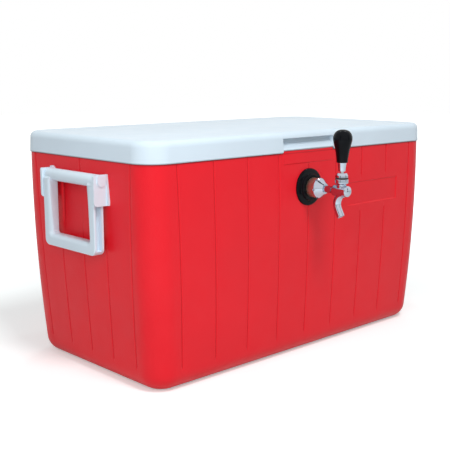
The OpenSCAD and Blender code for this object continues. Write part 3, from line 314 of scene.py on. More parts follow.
MATERIALS = {}
PAINTED_SHADE_LAYER = "painted_shade"  # name of the per-vertex share of painted shade, in the grooves, the handle pockets, the finger grip and along the seam at the lid's edge


def make_materials():
    finish = bpy.context.scene.cooler_finishes
    MATERIALS.update(
        red_plastic=moulded("red_polyethylene", finish.red, 520.0, 0.0003, 0.38, 0.28),
        white_plastic=moulded("white_polyethylene", finish.white, 800.0, 0.00014, 0.34, 0.35),
        foam=cellular("cast_foam", finish.foam),
        steel=drawn("drawn_steel", finish.steel, 0.2, 0.12),
        black_rubber=rubbery("black_rubber", (0.02, 0.02, 0.02, 1)),
        black_gloss=glossy("polished_black", finish.black),
        brass=drawn("turned_brass", finish.brass, 0.38, 0.1),
        chrome=plated("chrome_plate", finish.chrome, 0.05, 0.07),
        clear_hose=milky("milky_hose", finish.hose),
    )


# ---- Modelling tools ----


def settings():
    return bpy.context.scene.cooler_chest, bpy.context.scene.cooler_lid


def clear_selection():
    if bpy.context.object and bpy.context.object.mode != "OBJECT":
        bpy.ops.object.mode_set(mode="OBJECT")
    bpy.ops.object.select_all(action="DESELECT")


def only(piece):
    """Selects one piece alone, in object mode."""
    clear_selection()
    piece.select_set(True)
    bpy.context.view_layer.objects.active = piece


def copied(source, name):
    """A copy of a piece with its own mesh."""
    piece = bpy.data.objects.new(name, source.data.copy())
    bpy.context.scene.collection.objects.link(piece)
    return piece


def named(name):
    """Takes the primitive that was just added, under its name, into edit mode with all of it selected."""
    piece = bpy.context.object
    piece.name = piece.data.name = name
    bpy.ops.object.mode_set(mode="EDIT")
    bpy.ops.mesh.select_all(action="SELECT")
    return piece


def block(name, low, high):
    clear_selection()
    low, high = Vector(low), Vector(high)
    bpy.ops.mesh.primitive_cube_add(size=1, location=(low + high) / 2, scale=high - low)
    bpy.ops.object.transform_apply(location=True, rotation=True, scale=True)
    return named(name)


def pick(piece, test, kind="faces"):
    """Selects the faces, edges or vertices whose middle passes a test. Leaves the piece in edit mode."""
    bpy.ops.object.mode_set(mode="EDIT")
    bpy.ops.mesh.select_all(action="DESELECT")
    mode = {"faces": "FACE", "edges": "EDGE", "verts": "VERT"}[kind]
    bpy.ops.mesh.select_mode(type=mode)
    bpy.ops.object.mode_set(mode="OBJECT")
    mesh = piece.data
    if kind == "faces":
        for face in mesh.polygons:
            face.select = test(face.center, face.normal)
    elif kind == "edges":
        for edge in mesh.edges:
            ends = [mesh.vertices[i].co for i in edge.vertices]
            edge.select = test((ends[0] + ends[1]) / 2, (ends[1] - ends[0]).normalized())
    else:
        for vertex in mesh.vertices:
            vertex.select = test(vertex.co)
    bpy.ops.object.mode_set(mode="EDIT")


def cut(values, axis):
    """Cuts the whole piece by planes square to an axis."""
    normal = [0, 0, 0]
    normal[axis] = 1
    for value in sorted(set(values)):
        bpy.ops.mesh.select_all(action="SELECT")
        bpy.ops.mesh.bisect(plane_co=[n * value for n in normal], plane_no=normal)


def apply_all(piece):
    only(piece)
    for modifier in list(piece.modifiers):
        bpy.ops.object.modifier_apply(modifier=modifier.name)


def modify(piece, kind, **values):
    modifier = piece.modifiers.new(kind.title(), kind)
    for key, value in values.items():
        setattr(modifier, key, value)
    apply_all(piece)


def boolean(piece, other, operation):
    modifier = piece.modifiers.new("Boolean", "BOOLEAN")
    modifier.operation, modifier.object, modifier.solver = operation, other, "EXACT"
    apply_all(piece)
    bpy.data.objects.remove(other)
    return piece


def mark(piece, shares):
    """Stores each vertex's share of painted shade, which the finish darkens by."""
    layer = piece.data.attributes.new(PAINTED_SHADE_LAYER, "FLOAT", "POINT")
    for item, share in zip(layer.data, shares):
        item.value = share


def rod(name, radius, low, high, spot, sides=64):
    """A cylinder along Y between two places, round an axis at an X and Z."""
    clear_selection()
    bpy.ops.mesh.primitive_cylinder_add(
        vertices=sides, radius=radius, depth=high - low, location=(spot[0], (low + high) / 2, spot[1]),
        rotation=(radians(90), 0, 0),
    )
    bpy.ops.object.transform_apply(location=True, rotation=True, scale=True)
    bpy.context.object.name = name
    return bpy.context.object


def turned(name, profile, sides=96):
    """A solid turned about Z by extruding and scaling a disc. The profile is radius and height pairs."""
    clear_selection()
    bpy.ops.mesh.primitive_circle_add(
        vertices=sides, radius=profile[0][0], fill_type="NGON", location=(0, 0, profile[0][1])
    )
    bpy.ops.object.transform_apply(location=True, rotation=True, scale=True)
    piece = named(name)
    for (last_radius, last_height), (radius, height) in zip(profile, profile[1:]):
        bpy.ops.mesh.extrude_region_move(TRANSFORM_OT_translate={"value": (0, 0, height - last_height)})
        ratio = radius / last_radius
        bpy.ops.transform.resize(value=(ratio, ratio, 1), center_override=(0, 0, height))
    bpy.ops.mesh.select_all(action="SELECT")
    bpy.ops.mesh.normals_make_consistent(inside=False)
    bpy.ops.object.mode_set(mode="OBJECT")
    return piece


def place(piece, turn, spot):
    """Turns and moves a piece, and keeps its place in its mesh."""
    piece.data.transform(Matrix.Translation(spot) @ turn)
    return piece


OUTWARD = Matrix.Rotation(radians(90), 4, "X")  # turns +Z to -Y, the way the tap points


def along_tap(piece):
    return place(piece, OUTWARD, (0, TAP_WALL, TAP_Z))


def joined(pieces):
    clear_selection()
    for piece in pieces:
        piece.select_set(True)
    bpy.context.view_layer.objects.active = pieces[0]
    bpy.ops.object.join()
    return pieces[0]


def smooth(piece, angle):
    only(piece)
    bpy.ops.object.shade_smooth_by_angle(angle=radians(angle))
    modify(piece, "WEIGHTED_NORMAL", keep_sharp=True)


def finished(piece, body, slot, *nodes, angle=35):
    """Gives a piece its finish and its body, and hides the nodes that it stands for."""
    smooth(piece, angle)
    piece.data.materials.clear()
    piece.data.materials.append(MATERIALS[slot])
    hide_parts(*nodes)
    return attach(piece, body)


def softened(node, name, width, steps=2):
    """A copy of a node with its hard edges rounded."""
    piece = copied(frame["nodes"][node], name)
    only(piece)
    bpy.ops.object.mode_set(mode="EDIT")
    bpy.ops.mesh.select_all(action="SELECT")
    bpy.ops.mesh.remove_doubles(threshold=2e-6)
    bpy.ops.mesh.dissolve_limited(angle_limit=radians(1.5))
    bpy.ops.object.mode_set(mode="OBJECT")
    if width:
        modify(piece, "BEVEL", width=width, segments=steps, limit_method="ANGLE", angle_limit=radians(38))
    return piece


# ---- Chest ----


def end_inset(depth):
    """How far an end wall stands in from its place at the rim, at a depth below the rim."""
    return 0.0078 * depth + 0.126 * depth**2


def side_inset(depth):
    """The same for a long side, which first bulges a little."""
    return -0.0283 * depth + 0.14 * depth**2


def between(value, low, high, fade):
    """1 inside a range, 0 outside it, with a straight run-out inside its ends."""
    return max(0.0, min(1.0, (value - low) / fade, (high - value) / fade))


# Across a groove: place as a share of its width, and depth as a share of its full depth.
GROOVE_STEPS = [(-0.5, 0.0), (-0.36, 0.22), (-0.16, 0.86), (0.0, 1.0), (0.16, 0.86), (0.36, 0.22), (0.5, 0.0)]
FADE = 0.004  # run-out at a groove's ends
GROOVE_FOOT = 0.005  # from the base's curve to a groove's foot
SIDE_DRAW, END_DRAW = 0.125, 0.29  # how much a wall's grooves draw together for each metre down
WALL_CUTS = [0.06, 0.09, 0.12, 0.15, 0.18]
BADGE = (0.102, 0.241, 0.234, 0.2735)  # bare badge place: left, right, low, high
BADGE_MARGIN = 0.009
BADGE_DEPTH = 0.0011
EDGE = 0.0012  # width of the step round the badge place and the land
LAND_HALF = 0.0595
LAND_LOW = 0.315
LAND_PROUD = 0.001
LAND_RISE = 0.0036
POCKET_LOW, POCKET_HIGH, POCKET_HALF, POCKET_DEPTH = 0.212, 0.308, 0.052, 0.005
POCKET_MIDDLE = 0.255
POCKET_FADE = 0.003
END_GROOVE_TOP = 0.205
# Shares of painted shade: in the grooves, in the handle pockets, beside the pockets' side walls, and in a strip at
# the rim under the lid's edge.
GROOVE_SHADE = 0.3
POCKET_SHADE = 0.22
POCKET_EDGE_SHADE = 0.6
POCKET_SIDE = 0.0014  # width of the pocket's side walls
POCKET_RIM = 0.006  # width of the painted shade beside them
RIM_SHADE = 0.6
SEAM = 0.0020  # height of the strips of painted shade at the lid's edge and the body's rim


def groove_profile(offset, width):
    share = abs(offset) / width
    for (far, low), (near, high) in zip(GROOVE_STEPS, GROOVE_STEPS[1:4]):
        if -near <= share <= -far:
            return high + (low - high) * (share + near) / (near - far)
    return 0.0


def groove_at(along, pitch, count, width):
    """Which groove a place lies in and how deep, as a share of the full depth."""
    number = round(along / pitch)
    return number, groove_profile(along - number * pitch, width) if abs(number) <= count else 0.0


def front_press(chest, x, z):
    number, share = groove_at(x, chest.side_pitch, 4, chest.groove_width)
    low = chest.base_radius + GROOVE_FOOT
    top = chest.rim_height + FADE
    if number == 0:
        run = between(z, low, LAND_LOW, FADE)
    elif number in (2, 3):
        run = between(z, low, BADGE[2] - BADGE_MARGIN, FADE) + between(z, BADGE[3] + BADGE_MARGIN, top, FADE)
    else:
        run = between(z, low, top, FADE)
    panel = between(x, BADGE[0], BADGE[1], EDGE) * between(z, BADGE[2], BADGE[3], EDGE)
    land = between(x, -LAND_HALF, LAND_HALF, EDGE) * between(z, LAND_LOW, 1.0, EDGE)
    # The second value is the groove's share of painted shade.
    return chest.groove_depth * share * run + BADGE_DEPTH * panel - LAND_PROUD * land, GROOVE_SHADE * share * run


def rear_press(chest, x, z):
    number, share = groove_at(x, chest.side_pitch, 4, chest.groove_width)
    share *= between(z, chest.base_radius + GROOVE_FOOT, chest.rim_height + FADE, FADE)
    # The second value is the groove's share of painted shade.
    return chest.groove_depth * share, GROOVE_SHADE * share


def end_press(chest, y, z):
    number, share = groove_at(y, chest.end_pitch, 2, chest.groove_width)
    top = END_GROOVE_TOP if abs(number) == 1 else chest.rim_height + FADE
    run = between(z, chest.base_radius + GROOVE_FOOT, top, FADE)
    slope = (z - POCKET_LOW) / (POCKET_HIGH - POCKET_LOW)
    pocket = slope * between(y, -POCKET_HALF, POCKET_HALF, POCKET_SIDE) if POCKET_LOW < z < POCKET_HIGH else 0.0
    pocket *= between(z, -1, POCKET_HIGH, POCKET_FADE)
    groove = share * run * (1 - pocket)
    # Painted shade in the groove and the pocket, darker still beside the pocket's side walls.
    shade_share = max(GROOVE_SHADE * groove, POCKET_SHADE * pocket)
    if POCKET_LOW < z < POCKET_HIGH:
        beside = between(abs(y), POCKET_HALF - POCKET_RIM, POCKET_HALF + 0.0005, 0.002)
        shade_share = max(shade_share, POCKET_EDGE_SHADE * min(1.0, 2 * slope) * beside)
    return max(chest.groove_depth * groove, POCKET_DEPTH * pocket), shade_share


def drawn_in(value, half, radius, inset, draw, flat):
    """Where a point of a wall goes as the wall leans in: grooves draw together, corners keep their radius."""
    size = abs(value)
    knots = [(0.0, 0.0), (flat, flat * draw), (half - radius, half - radius - inset), (half, half - inset)]
    for (a, at_a), (b, at_b) in zip(knots, knots[1:]):
        if size <= b or b == half:
            moved = at_a + (at_b - at_a) * (size - a) / (b - a)
            break
    return moved if value > 0 else -moved


def make_outer_shell():
    """A block with rounded corners, cut where its grooves, pockets, land and badge place run, then pressed in."""
    chest, _ = settings()
    half_l, half_w = chest.body_length / 2, chest.body_width / 2
    shell = block("chest_body", (-half_l, -half_w, 0), (half_l, half_w, chest.rim_height))
    pick(shell, lambda c, d: abs(d.z) > 0.9, "edges")
    bpy.ops.mesh.bevel(offset=chest.corner_radius, segments=14, affect="EDGES", profile=0.5)
    pick(shell, lambda c, d: c.z < 1e-5 and abs(d.z) < 0.1, "edges")
    bpy.ops.mesh.bevel(offset=chest.base_radius, segments=8, affect="EDGES", profile=0.5)
    pick(shell, lambda c, n: n.z > 0.9)
    bpy.ops.mesh.delete(type="FACE")
    xs = [n * chest.side_pitch + step * chest.groove_width for n in range(-4, 5) for step, share in GROOVE_STEPS]
    xs += [BADGE[0], BADGE[0] + EDGE, BADGE[1] - EDGE, BADGE[1]]
    xs += [side * (LAND_HALF - inner) for side in (-1, 1) for inner in (0, EDGE)]
    ys = [n * chest.end_pitch + step * chest.groove_width for n in range(-2, 3) for step, share in GROOVE_STEPS]
    ys = [y for y in ys if abs(y) < half_w - chest.corner_radius]
    ys += [side * (POCKET_HALF - inner) for side in (-1, 1) for inner in (0, POCKET_SIDE, POCKET_RIM)]
    low = chest.base_radius + GROOVE_FOOT
    zs = [low, low + FADE, *WALL_CUTS, END_GROOVE_TOP - FADE, END_GROOVE_TOP]
    zs += [POCKET_LOW, POCKET_MIDDLE, POCKET_HIGH - POCKET_FADE, POCKET_HIGH]
    zs += [BADGE[2] - BADGE_MARGIN - FADE, BADGE[2] - BADGE_MARGIN, BADGE[2], BADGE[2] + EDGE]
    zs += [BADGE[3] - EDGE, BADGE[3], BADGE[3] + BADGE_MARGIN, BADGE[3] + BADGE_MARGIN + FADE]
    zs += [LAND_LOW - FADE, LAND_LOW, LAND_LOW + EDGE, chest.rim_height - SEAM]
    cut(xs, 0)
    cut(ys, 1)
    cut(zs, 2)
    bpy.ops.object.mode_set(mode="OBJECT")
    flat_x, flat_y = half_l - chest.corner_radius, half_w - chest.corner_radius
    shares = []
    for vertex in shell.data.vertices:
        x, y, z = vertex.co
        press = share = 0.0
        if z >= chest.base_radius - 1e-5:
            if y < -half_w + 1e-5 and abs(x) < flat_x:
                press, share = front_press(chest, x, z)
                y += press
            elif y > half_w - 1e-5 and abs(x) < flat_x:
                press, share = rear_press(chest, x, z)
                y -= press
            elif abs(x) > half_l - 1e-5 and abs(y) < flat_y:
                press, share = end_press(chest, y, z)
                x -= press if x > 0 else -press
        # Painted shade: the share from the grooves and the pocket, or a strip at the rim under the lid's edge.
        shares.append(max(share, RIM_SHADE * between(z, chest.rim_height - SEAM, 1.0, SEAM)))
        depth = chest.rim_height - max(z, chest.base_radius)
        new_x = drawn_in(x, half_l, chest.corner_radius, end_inset(depth), 1 - SIDE_DRAW * depth, flat_x - 0.009)
        new_y = drawn_in(y, half_w, chest.corner_radius, side_inset(depth), 1 - END_DRAW * depth, flat_y - 0.001)
        vertex.co = (new_x, new_y, z)
    mark(shell, shares)
    modify(shell, "SOLIDIFY", thickness=chest.wall - 0.0008, offset=-1)
    land = block(
        "land",
        (-LAND_HALF + 0.0006, -half_w - LAND_PROUD + 0.0001, chest.rim_height - 0.004),
        (LAND_HALF - 0.0006, -half_w + chest.wall - 0.0005, chest.rim_height + LAND_RISE),
    )
    bpy.ops.object.mode_set(mode="OBJECT")
    modify(land, "BEVEL", width=0.0006, segments=2)
    shell = joined([shell, land])
    return finished(shell, "chest", "red_plastic", "outer_shell", angle=28)


# ---- Lid ----

# Up the finger grip: height above its lower lip, and depth as a share of its full depth.
GRIP_STEPS = [
    (0.0, 0.0), (0.0008, 0.08), (0.006, 0.56), (0.0095, 0.85), (0.0125, 1.0),
    (0.015, 0.97), (0.0163, 0.7), (0.0171, 0.28), (0.0175, 0.0),
]
# Shares of painted shade in the finger grip and along the lid's lower edge at the seam.
GRIP_SHADE = 0.34
GRIP_FOOT = 0.005  # height of its lower lip above the lid's edge
GRIP_RUN = 0.0015  # run-out at its ends
LID_EDGE_SHADE = 0.85
LID_LEAN = 0.0008
LID_WALL = 0.003


def grip_press(rise):
    """Depth of the finger grip at a height above its lower lip, as a share."""
    for (a, at_a), (b, at_b) in zip(GRIP_STEPS, GRIP_STEPS[1:]):
        if a <= rise <= b:
            return at_a + (at_b - at_a) * (rise - a) / (b - a)
    return 0.0


def make_lid_shell():
    """A block with rounded corners and top edge, its grip pressed in and its top crowned, open below."""
    chest, lid = settings()
    half_l, half_w = chest.body_length / 2 + lid.overhang, chest.body_width / 2 + lid.overhang
    low, top = LID_LOW.z, LID_HIGH.z - lid.crown
    shell = block("lid_cover", (-half_l, -half_w, low), (half_l, half_w, top))
    radius = chest.corner_radius + lid.overhang
    pick(shell, lambda c, d: abs(d.z) > 0.9, "edges")
    bpy.ops.mesh.bevel(offset=radius, segments=16, affect="EDGES", profile=0.5)
    pick(shell, lambda c, d: c.z > top - 1e-5 and abs(d.z) < 0.1, "edges")
    bpy.ops.mesh.bevel(offset=lid.edge_radius, segments=9, affect="EDGES", profile=0.5)
    pick(shell, lambda c, n: n.z < -0.9)
    bpy.ops.mesh.delete(type="FACE")
    grip = lid.grip_length / 2
    cut([side * at for side in (-1, 1) for at in (grip, grip - GRIP_RUN, 0.12, 0.18, 0.24)] + [0.0], 0)
    cut([side * at for side in (-1, 1) for at in (0.05, 0.1)] + [0.0], 1)
    heights = [low + SEAM, low + LAND_RISE, low + LAND_RISE + SEAM]
    cut(heights + [low + GRIP_FOOT + rise for rise, share in GRIP_STEPS], 2)
    bpy.ops.object.mode_set(mode="OBJECT")
    straight = top - lid.edge_radius
    shares = []
    for vertex in shell.data.vertices:
        x, y, z = vertex.co
        share = 0.0
        if y < -half_w + 1e-5 and abs(x) <= grip + 1e-5:
            share = grip_press(z - low - GRIP_FOOT) * between(x, -grip, grip, GRIP_RUN)
            y += lid.grip_depth * share
            if abs(x) < grip - 1e-5 and z < low + LAND_RISE - 1e-5:
                z = low + LAND_RISE - 0.0002 + 0.03 * (z - low)
        edge = low + LAND_RISE if y < 0 and abs(x) < grip - 1e-5 else low
        # Painted shade in the finger grip and in a strip along the lid's lower edge at the seam.
        shares.append(max(GRIP_SHADE * share**1.5, LID_EDGE_SHADE * (1 - min(1.0, abs(z - edge) / SEAM))))
        lean = LID_LEAN * min(1.0, (vertex.co.z - low) / (straight - low))
        if abs(x) > half_l - radius:
            x -= lean * (1 if x > 0 else -1)
        if abs(y) > half_w - radius:
            y -= lean * (1 if y > 0 else -1)
        if z > straight:
            arch = (1 - (x / half_l) ** 2) * (1 - (y / half_w) ** 2)
            z += lid.crown * arch * (z - straight) / (top - straight)
        vertex.co = (x, y, z)
    mark(shell, shares)
    modify(shell, "SOLIDIFY", thickness=LID_WALL, offset=-1)
    return finished(shell, "lid", "white_plastic", "lid_shell", angle=32)


# ---- Tap ----


def make_wall_flange():
    """A stepped disc with a rounded rim and a raised ring."""
    radius = (FLANGE_HIGH.x - FLANGE_LOW.x) / 2
    thick = FLANGE_HIGH.y - FLANGE_LOW.y
    profile = [(radius, 0.0), (radius, 1.6 * MM)]
    for angle in (radians(degrees) for degrees in (15, 35, 60, 90)):
        profile.append((radius - 2.4 * MM * (1 - cos(angle)), (1.6 + 2.4 * sin(angle)) * MM))
    profile += [(22.6 * MM, 4.4 * MM), (21.9 * MM, 5.2 * MM)]
    for angle in (radians(degrees) for degrees in (0, 30, 60, 90)):
        profile.append(((19.6 + 2 * cos(angle)) * MM, thick - 2 * MM + 2 * MM * sin(angle)))
    profile += [(11.2 * MM, thick)]
    return finished(along_tap(turned("tap_flange", profile)), "chest", "black_gloss", "wall_flange", angle=30)


COLLAR_END = 22.4 * MM  # from the wall to the collar's end, where the nut starts
COLLAR_START, COLLAR_RADIUS = 9.02 * MM, 15.52 * MM


def make_shank():
    """The shank with its collar, which shows as far as the nut's rim."""
    shank = softened("tap_shank", "tap_shank_turned", 0)
    ring = along_tap(turned("collar", [(COLLAR_RADIUS, COLLAR_START), (COLLAR_RADIUS, COLLAR_END)]))
    return finished(joined([shank, ring]), "chest", "brass", "tap_shank", angle=30)


NUT_STEPS = [
    (15.9, 0), (16.6, 0.6), (16.6, 1.8), (16.2, 3.0), (15.2, 4.4), (13.3, 6.6),
    (11.0, 9.4), (9.2, 11.8), (8.6, 12.8), (7.8, 13.6), (5.9, 13.6),
]


def make_coupling_nut():
    """A turned cone with six spanner holes round its rim."""
    nut = turned("coupling_nut_body", [(r * MM, COLLAR_END + h * MM) for r, h in NUT_STEPS])
    drills = []
    for number in range(6):
        clear_selection()
        bpy.ops.mesh.primitive_cylinder_add(vertices=32, radius=1.7 * MM, depth=4 * MM)
        drill = bpy.context.object
        angle = radians(25 + 60 * number)
        outward = Vector((sin(angle), cos(angle), 0))
        spot = outward * (17.1 * MM) + Vector((0, 0, COLLAR_END + 2.4 * MM))
        drill.data.transform(Matrix.Translation(spot) @ outward.to_track_quat("Z", "Y").to_matrix().to_4x4())
        drills.append(drill)
    boolean(nut, joined(drills), "DIFFERENCE")
    return finished(along_tap(nut), "chest", "chrome", "coupling_nut", angle=30)


SPOUT_BEND = 18 * MM
SPOUT_LEAN = 28
SPOUT_BACK = 72
SPOUT_STRAIGHT = 13 * MM
SPOUT_RADIUS = 6.1 * MM
SPOUT_WALL = 1.6 * MM


def make_spout():
    """A ring swept round the bend and drawn out to the outlet, with its bore made by a wall."""
    clear_selection()
    bend_y = TAP_WALL - 60 * MM - SPOUT_BEND
    bend_z = TAP_Z - 21 * MM
    angle = radians(SPOUT_BACK)
    start = (0, bend_y + SPOUT_BEND * cos(angle), bend_z + SPOUT_BEND * sin(angle))
    bpy.ops.mesh.primitive_circle_add(
        vertices=48, radius=SPOUT_RADIUS, fill_type="NOTHING", location=start, rotation=(angle, 0, 0)
    )
    bpy.ops.object.transform_apply(location=True, rotation=True, scale=True)
    spout = named("spout")
    bpy.ops.mesh.spin(
        steps=28, angle=radians(SPOUT_BACK + SPOUT_LEAN), center=(0, bend_y, bend_z), axis=(1, 0, 0)
    )
    lean = radians(SPOUT_LEAN)
    bpy.ops.mesh.extrude_region_move(
        TRANSFORM_OT_translate={"value": (0, -sin(lean) * SPOUT_STRAIGHT, -cos(lean) * SPOUT_STRAIGHT)}
    )
    bpy.ops.mesh.select_all(action="SELECT")
    bpy.ops.mesh.remove_doubles(threshold=1e-6)
    bpy.ops.mesh.normals_make_consistent(inside=False)
    bpy.ops.object.mode_set(mode="OBJECT")
    modify(spout, "SOLIDIFY", thickness=SPOUT_WALL, offset=-1)
    return spout


# Radius and distance from the wall or height above the tap's axis, in mm.
BARREL_STEPS = [
    (12, 21.3), (12, 25), (5.9, 25.01), (5.6, 27), (5.6, 48),
    (5.9, 50), (6.9, 52), (8.3, 53.4), (8.8, 54.6), (8.8, 79.5),
]
HEAD_STEPS = [(7.3, 2), (7.3, 9.8), (8, 10.8), (10.1, 12), (10.5, 12.6), (10.5, 18.1), (10.2, 18.6), (2, 18.6)]
SEAM_STEPS = [(9.4, 18.3), (9.9, 18.4), (9.9, 21.1), (9.4, 21.2)]
BONNET_STEPS = [
    (9.0, 20.7), (9.5, 20.9), (9.7, 21.2), (9.7, 24.0), (9.5, 24.8),
    (9.0, 25.7), (8.2, 27.0), (7.6, 27.8), (7.2, 28.0), (6.6, 27.9),
]
FERRULE_STEPS = [
    (4.4, 30.5), (5.1, 30.7), (5.45, 31.3), (5.6, 34), (5.9, 37), (6.5, 41), (6.85, 43.2), (6.85, 43.9), (6.6, 44),
]
KNOB_STEPS = [
    (7.8, 44), (8.5, 44.3), (8.7, 44.9), (9.1, 50), (9.9, 56.5), (11.1, 63), (12.7, 69.5), (14.0, 74.5), (14.8, 78.5),
    (15.0, 81.2), (14.7, 84.2), (13.7, 87.4), (12.0, 90.2), (9.6, 92.6), (6.4, 94.2), (3.0, 94.9), (0.8, 95),
]
CASTING_VOXEL = 0.42 * MM


def make_tap_body():
    """Barrel, head and spout blended into one casting."""
    barrel = BARREL_STEPS + [(8.8 * cos(radians(a)) + 0.02, 79.5 + 4 * sin(radians(a))) for a in (20, 40, 58, 74, 89)]
    body = along_tap(turned("tap_casting", [(r * MM, d * MM) for r, d in barrel]))
    head = turned("head", [(r * MM, h * MM) for r, h in HEAD_STEPS])
    place(head, Matrix.Identity(4), (0, LEVER_Y, TAP_Z))
    body = joined([body, head, make_spout()])
    modify(body, "REMESH", mode="VOXEL", voxel_size=CASTING_VOXEL, use_smooth_shade=True)
    modify(body, "CORRECTIVE_SMOOTH", factor=0.5, iterations=4, use_only_smooth=True)
    body.name = "tap_casting"
    return finished(body, "chest", "chrome", "tap_body", angle=60)


def stacked(name, steps, body, slot, node, sides=96):
    """A turned piece on the lever's upright axis. Its steps are radius and height above the tap's axis."""
    piece = turned(name, [(r * MM, h * MM) for r, h in steps], sides)
    place(piece, Matrix.Identity(4), (0, LEVER_Y, TAP_Z))
    return finished(piece, body, slot, node, angle=30)


def make_lever_parts():
    stacked("seam_ring", SEAM_STEPS, "chest", "black_rubber", "ball_washer")
    stacked("bonnet_ring", BONNET_STEPS, "chest", "chrome", "bonnet")
    stacked("ferrule", FERRULE_STEPS, "tap_handle", "chrome", "lever_ferrule")
    stacked("lever_knob", KNOB_STEPS, "tap_handle", "black_gloss", "tap_knob")


# ---- Handles, brackets and hinges ----

HANDLE_DEEP = 0.0164
HANDLE_HALF = 0.066
HANDLE_CORNER, HANDLE_SHOULDER, HANDLE_EDGE = 0.010, 0.008, 0.0018
OPENING_HALF, OPENING_LOW = 0.050, 0.2155
BAR_RADIUS = 0.0094
FLANGE_THICK = 0.003
PIN_RADIUS = 0.004
CHANNEL_IN, CHANNEL_OUT, CHANNEL_TOP = 0.0575, 0.08, 0.291


def make_handles():
    """A moulded loop whose bars are channels open outwards, under a round bar that carries the pins."""
    low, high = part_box("bail_handle_left")
    front, back = low.x, low.x + HANDLE_DEEP
    pivot_z = high.z - BAR_RADIUS
    pivot_x = high.x - BAR_RADIUS
    loop = block("handle_left_moulding", (front, -HANDLE_HALF, low.z), (back, HANDLE_HALF, pivot_z))
    pick(loop, lambda c, d: abs(d.x) > 0.9 and c.z < low.z + 1e-5, "edges")
    bpy.ops.mesh.bevel(offset=HANDLE_CORNER, segments=8, affect="EDGES", profile=0.5)
    pick(loop, lambda c, d: abs(d.y) > 0.9 and c.z > pivot_z - 1e-5 and c.x < front + 1e-5, "edges")
    bpy.ops.mesh.bevel(offset=HANDLE_SHOULDER, segments=6, affect="EDGES", profile=0.5)
    pick(loop, lambda c, d: c.x < front + 1e-5 and c.z < pivot_z - HANDLE_SHOULDER - 0.0001, "edges")
    bpy.ops.mesh.bevel(offset=HANDLE_EDGE, segments=3, affect="EDGES", profile=0.5)
    opening = block("opening", (front - 0.002, -OPENING_HALF, OPENING_LOW), (back + 0.002, OPENING_HALF, 0.34))
    pick(opening, lambda c, d: abs(d.x) > 0.9 and c.z < 0.3, "edges")
    bpy.ops.mesh.bevel(offset=0.0045, segments=5, affect="EDGES", profile=0.5)
    bpy.ops.object.mode_set(mode="OBJECT")
    boolean(loop, opening, "DIFFERENCE")

    def rim(c):
        return abs(c.y) < OPENING_HALF + 1e-5 and OPENING_LOW - 1e-5 < c.z

    pick(loop, lambda c, d: c.x < front + 1e-5 and rim(c), "edges")
    bpy.ops.mesh.bevel(offset=0.0072, segments=8, affect="EDGES", profile=0.5)
    pick(loop, lambda c, d: c.x > back - 1e-5 and rim(c), "edges")
    bpy.ops.mesh.bevel(offset=0.002, segments=3, affect="EDGES", profile=0.5)
    bpy.ops.object.mode_set(mode="OBJECT")
    for side in (-1, 1):
        channel = block(
            "channel",
            (front + FLANGE_THICK, side * CHANNEL_IN, low.z + 0.006),
            (back - FLANGE_THICK, side * CHANNEL_OUT, CHANNEL_TOP),
        )
        pick(channel, lambda c, d: abs(c.y) < 0.06, "edges")
        bpy.ops.mesh.bevel(offset=HANDLE_EDGE, segments=3, affect="EDGES", profile=0.5)
        bpy.ops.mesh.select_all(action="SELECT")
        bpy.ops.mesh.normals_make_consistent(inside=False)
        bpy.ops.object.mode_set(mode="OBJECT")
        boolean(loop, channel, "DIFFERENCE")
    bar = rod("bar", BAR_RADIUS, -HANDLE_HALF, HANDLE_HALF, (pivot_x, pivot_z), 72)
    modify(bar, "BEVEL", width=0.0012, segments=3, limit_method="ANGLE", angle_limit=radians(60))
    boolean(bar, rod("pins", PIN_RADIUS, low.y, high.y, (pivot_x, pivot_z), 32), "UNION")
    boolean(loop, bar, "UNION")
    modify(loop, "BEVEL", width=0.0005, segments=2, limit_method="ANGLE", angle_limit=radians(50))
    other = copied(loop, "handle_right_moulding")
    place(other, Matrix.Rotation(pi, 4, "Z"), (0, 0, 0))
    finished(loop, "handle_left", "white_plastic", "bail_handle_left", angle=40)
    finished(other, "handle_right", "white_plastic", "bail_handle_right", angle=40)


def soften_group(nodes, body, slot, width, angle=40):
    """Copies of nodes with rounded edges, each in the place of its node."""
    for node in nodes:
        finished(softened(node, node + "_moulding", width * MM, 3), body, slot, node, angle=angle)


def make_brackets():
    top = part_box("bracket_left_front")[1].z
    for node in (name for name in frame["nodes"] if name.startswith("bracket_")):
        piece = softened(node, node + "_moulding", 0.9 * MM, 4)
        for vertex in piece.data.vertices:
            if vertex.co.z > top:
                vertex.co.z = top + (vertex.co.z - top) / 2
        finished(piece, "chest", "white_plastic", node, angle=40)


def make_tube(node, name, body, slot):
    """A rounder and smoother copy of a tube."""
    tube = softened(node, name, 0)
    modify(tube, "SUBSURF", levels=1)
    return finished(tube, body, slot, node, angle=70)


def make_carried_finishes():
    """Finish every node that is still shown as it was packed."""
    slots = {part["node"]: part["material_slot"] for part in frame["record"]["subparts"]}
    for node, thing in frame["nodes"].items():
        thing.data.materials.clear()
        thing.data.materials.append(MATERIALS[slots[node]])


# ---- Stage ----


def area_light(name, power, size, spot, aim, shown=True):
    data = bpy.data.lights.new(name, "AREA")
    data.energy, data.size = power, size
    lamp = bpy.data.objects.new(name, data)
    lamp.location = spot
    lamp.visible_glossy = shown
    lamp.rotation_euler = (Vector(aim) - Vector(spot)).to_track_quat("-Z", "Y").to_euler()
    bpy.context.scene.collection.objects.link(lamp)


